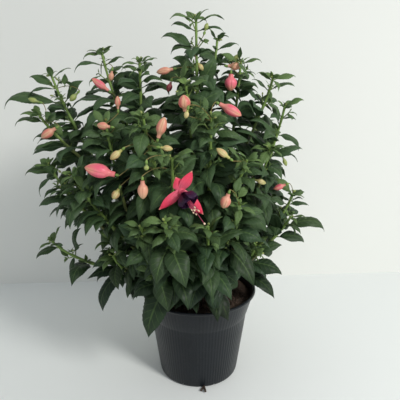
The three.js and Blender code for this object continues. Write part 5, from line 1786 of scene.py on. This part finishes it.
gathered = Gathered()
gathered.add(*compost_body())
for _ in range(CRUMBS):
    reach, turn = CRUMB_REACH * math.sqrt(pick.uniform(0, 1)), pick.uniform(0, 2 * math.pi)
    x, y = reach * math.cos(turn), reach * math.sin(turn)
    size = pick.choice(list(CRUMB_SIZES), p=list(CRUMB_SIZES.values()))
    middle = vec(x, y, compost_height(x, y) + size * 0.15)
    gathered.add(*crumb(middle, size, pick.uniform(1, 1.9)))
for start, end in SMALL_ROOTS:  # they have grown out under the foot of the pot
    knee = between(start, end, 0.6) + UP * 0.8
    root_line = bezier({"root": start, "bend": knee, "tip": end}, np.linspace(0, 1, 9))
    gathered.add(*threaded(root_line, pick.uniform(1.0, 1.9, len(root_line)), 7))
finish_piece(gathered.make("crumbly_compost", compost_finish, sharp=80), "compost", "compost")
print("compost faces:", len(gathered.faces))

# %% [markdown]
# ## Floor, wall and light
# The plant stands on a pale floor close to a pale wall, with soft window light from the right. The
# wall would stand in the way when the plant is looked at from behind, so its finish lets a view
# through from its back. One large lamp gives the soft shadow on the wall, and the pale surroundings
# give the rest.

# %% The floor and the wall
WALL_LEFT, WALL_RIGHT = vec(-489, 315, 0), vec(519, 385, 0)  # two points on its foot
WALL_BEYOND, WALL_HEIGHT = 1400, 1700  # how far it goes on beyond those points, and its height
FLOOR_REACH = 3000


def flat_sheet(name, corners, material):
    """A flat face for the background, which is no part of the plant."""
    mesh = bpy.data.meshes.new(name)
    mesh.from_pydata([tuple(c * MM) for c in corners], [], [(0, 1, 2, 3)])
    mesh.materials.append(material)
    made = thing(name, mesh)
    return made


floor_finish, tree, shader = new_material("floor", Roughness=0.6, Specular_IOR_Level=0.3)
shader.inputs["Base Color"].default_value = colour("e9ecea")
floor_corners = [vec(x, y, 0) * FLOOR_REACH for x, y in ((-1, -1), (1, -1), (1, 1), (-1, 1))]
flat_sheet("floor", floor_corners, floor_finish)

wall_finish, tree, shader = new_material("wall", Roughness=0.8, Specular_IOR_Level=0.2)
shader.inputs["Base Color"].default_value = colour("e9eae5")
back = add_node(tree, "NewGeometry").outputs["Backfacing"]
through = add_node(tree, "BsdfTransparent")
mixed = add_node(tree, "MixShader", {0: back, 1: shader.outputs[0], 2: through.outputs[0]})
tree.links.new(mixed.outputs[0], tree.nodes["Material Output"].inputs["Surface"])
along_wall = unit(WALL_RIGHT - WALL_LEFT)
left, right = WALL_LEFT - along_wall * WALL_BEYOND, WALL_RIGHT + along_wall * WALL_BEYOND
wall_corners = [left, right, right + UP * WALL_HEIGHT, left + UP * WALL_HEIGHT]
wall = flat_sheet("wall", wall_corners, wall_finish)
print("wall faces the camera:", wall.data.polygons[0].normal.y < 0)


# %% The lights
WINDOW = {  # metres, degrees and watts
    "place": (1.4, -1.5, 1.55), "target": (0.05, 0.1, -0.1), "size": 0.6, "spread": 100,
    "power": 12.4, "tint": (1.0, 0.99, 0.96),
}  # fmt: skip
SKY_COLOUR, SKY_STRENGTH = "eff3f8", 0.6


def area_light(name, place, target, size, spread, power, tint):
    """A round lamp at a place that shines towards a target."""
    data = bpy.data.lights.new(name, "AREA")
    data.shape, data.size, data.spread = "DISK", size, math.radians(spread)
    data.energy, data.color = power, tint
    made = thing(name, data)
    made.location = place
    aim = unit(np.array(target) - np.array(place))
    made.rotation_euler = Vector(aim).to_track_quat("-Z", "Y").to_euler()


area_light("window", **WINDOW)
world = bpy.data.worlds.new("room")
world.use_nodes = True
sky = world.node_tree.nodes["Background"]
sky.inputs["Color"].default_value = colour(SKY_COLOUR)
sky.inputs["Strength"].default_value = SKY_STRENGTH
bpy.context.scene.world = world
bpy.context.scene.view_settings.view_transform = "Standard"
print("lamp power in watts:", WINDOW["power"], "sky strength:", SKY_STRENGTH)
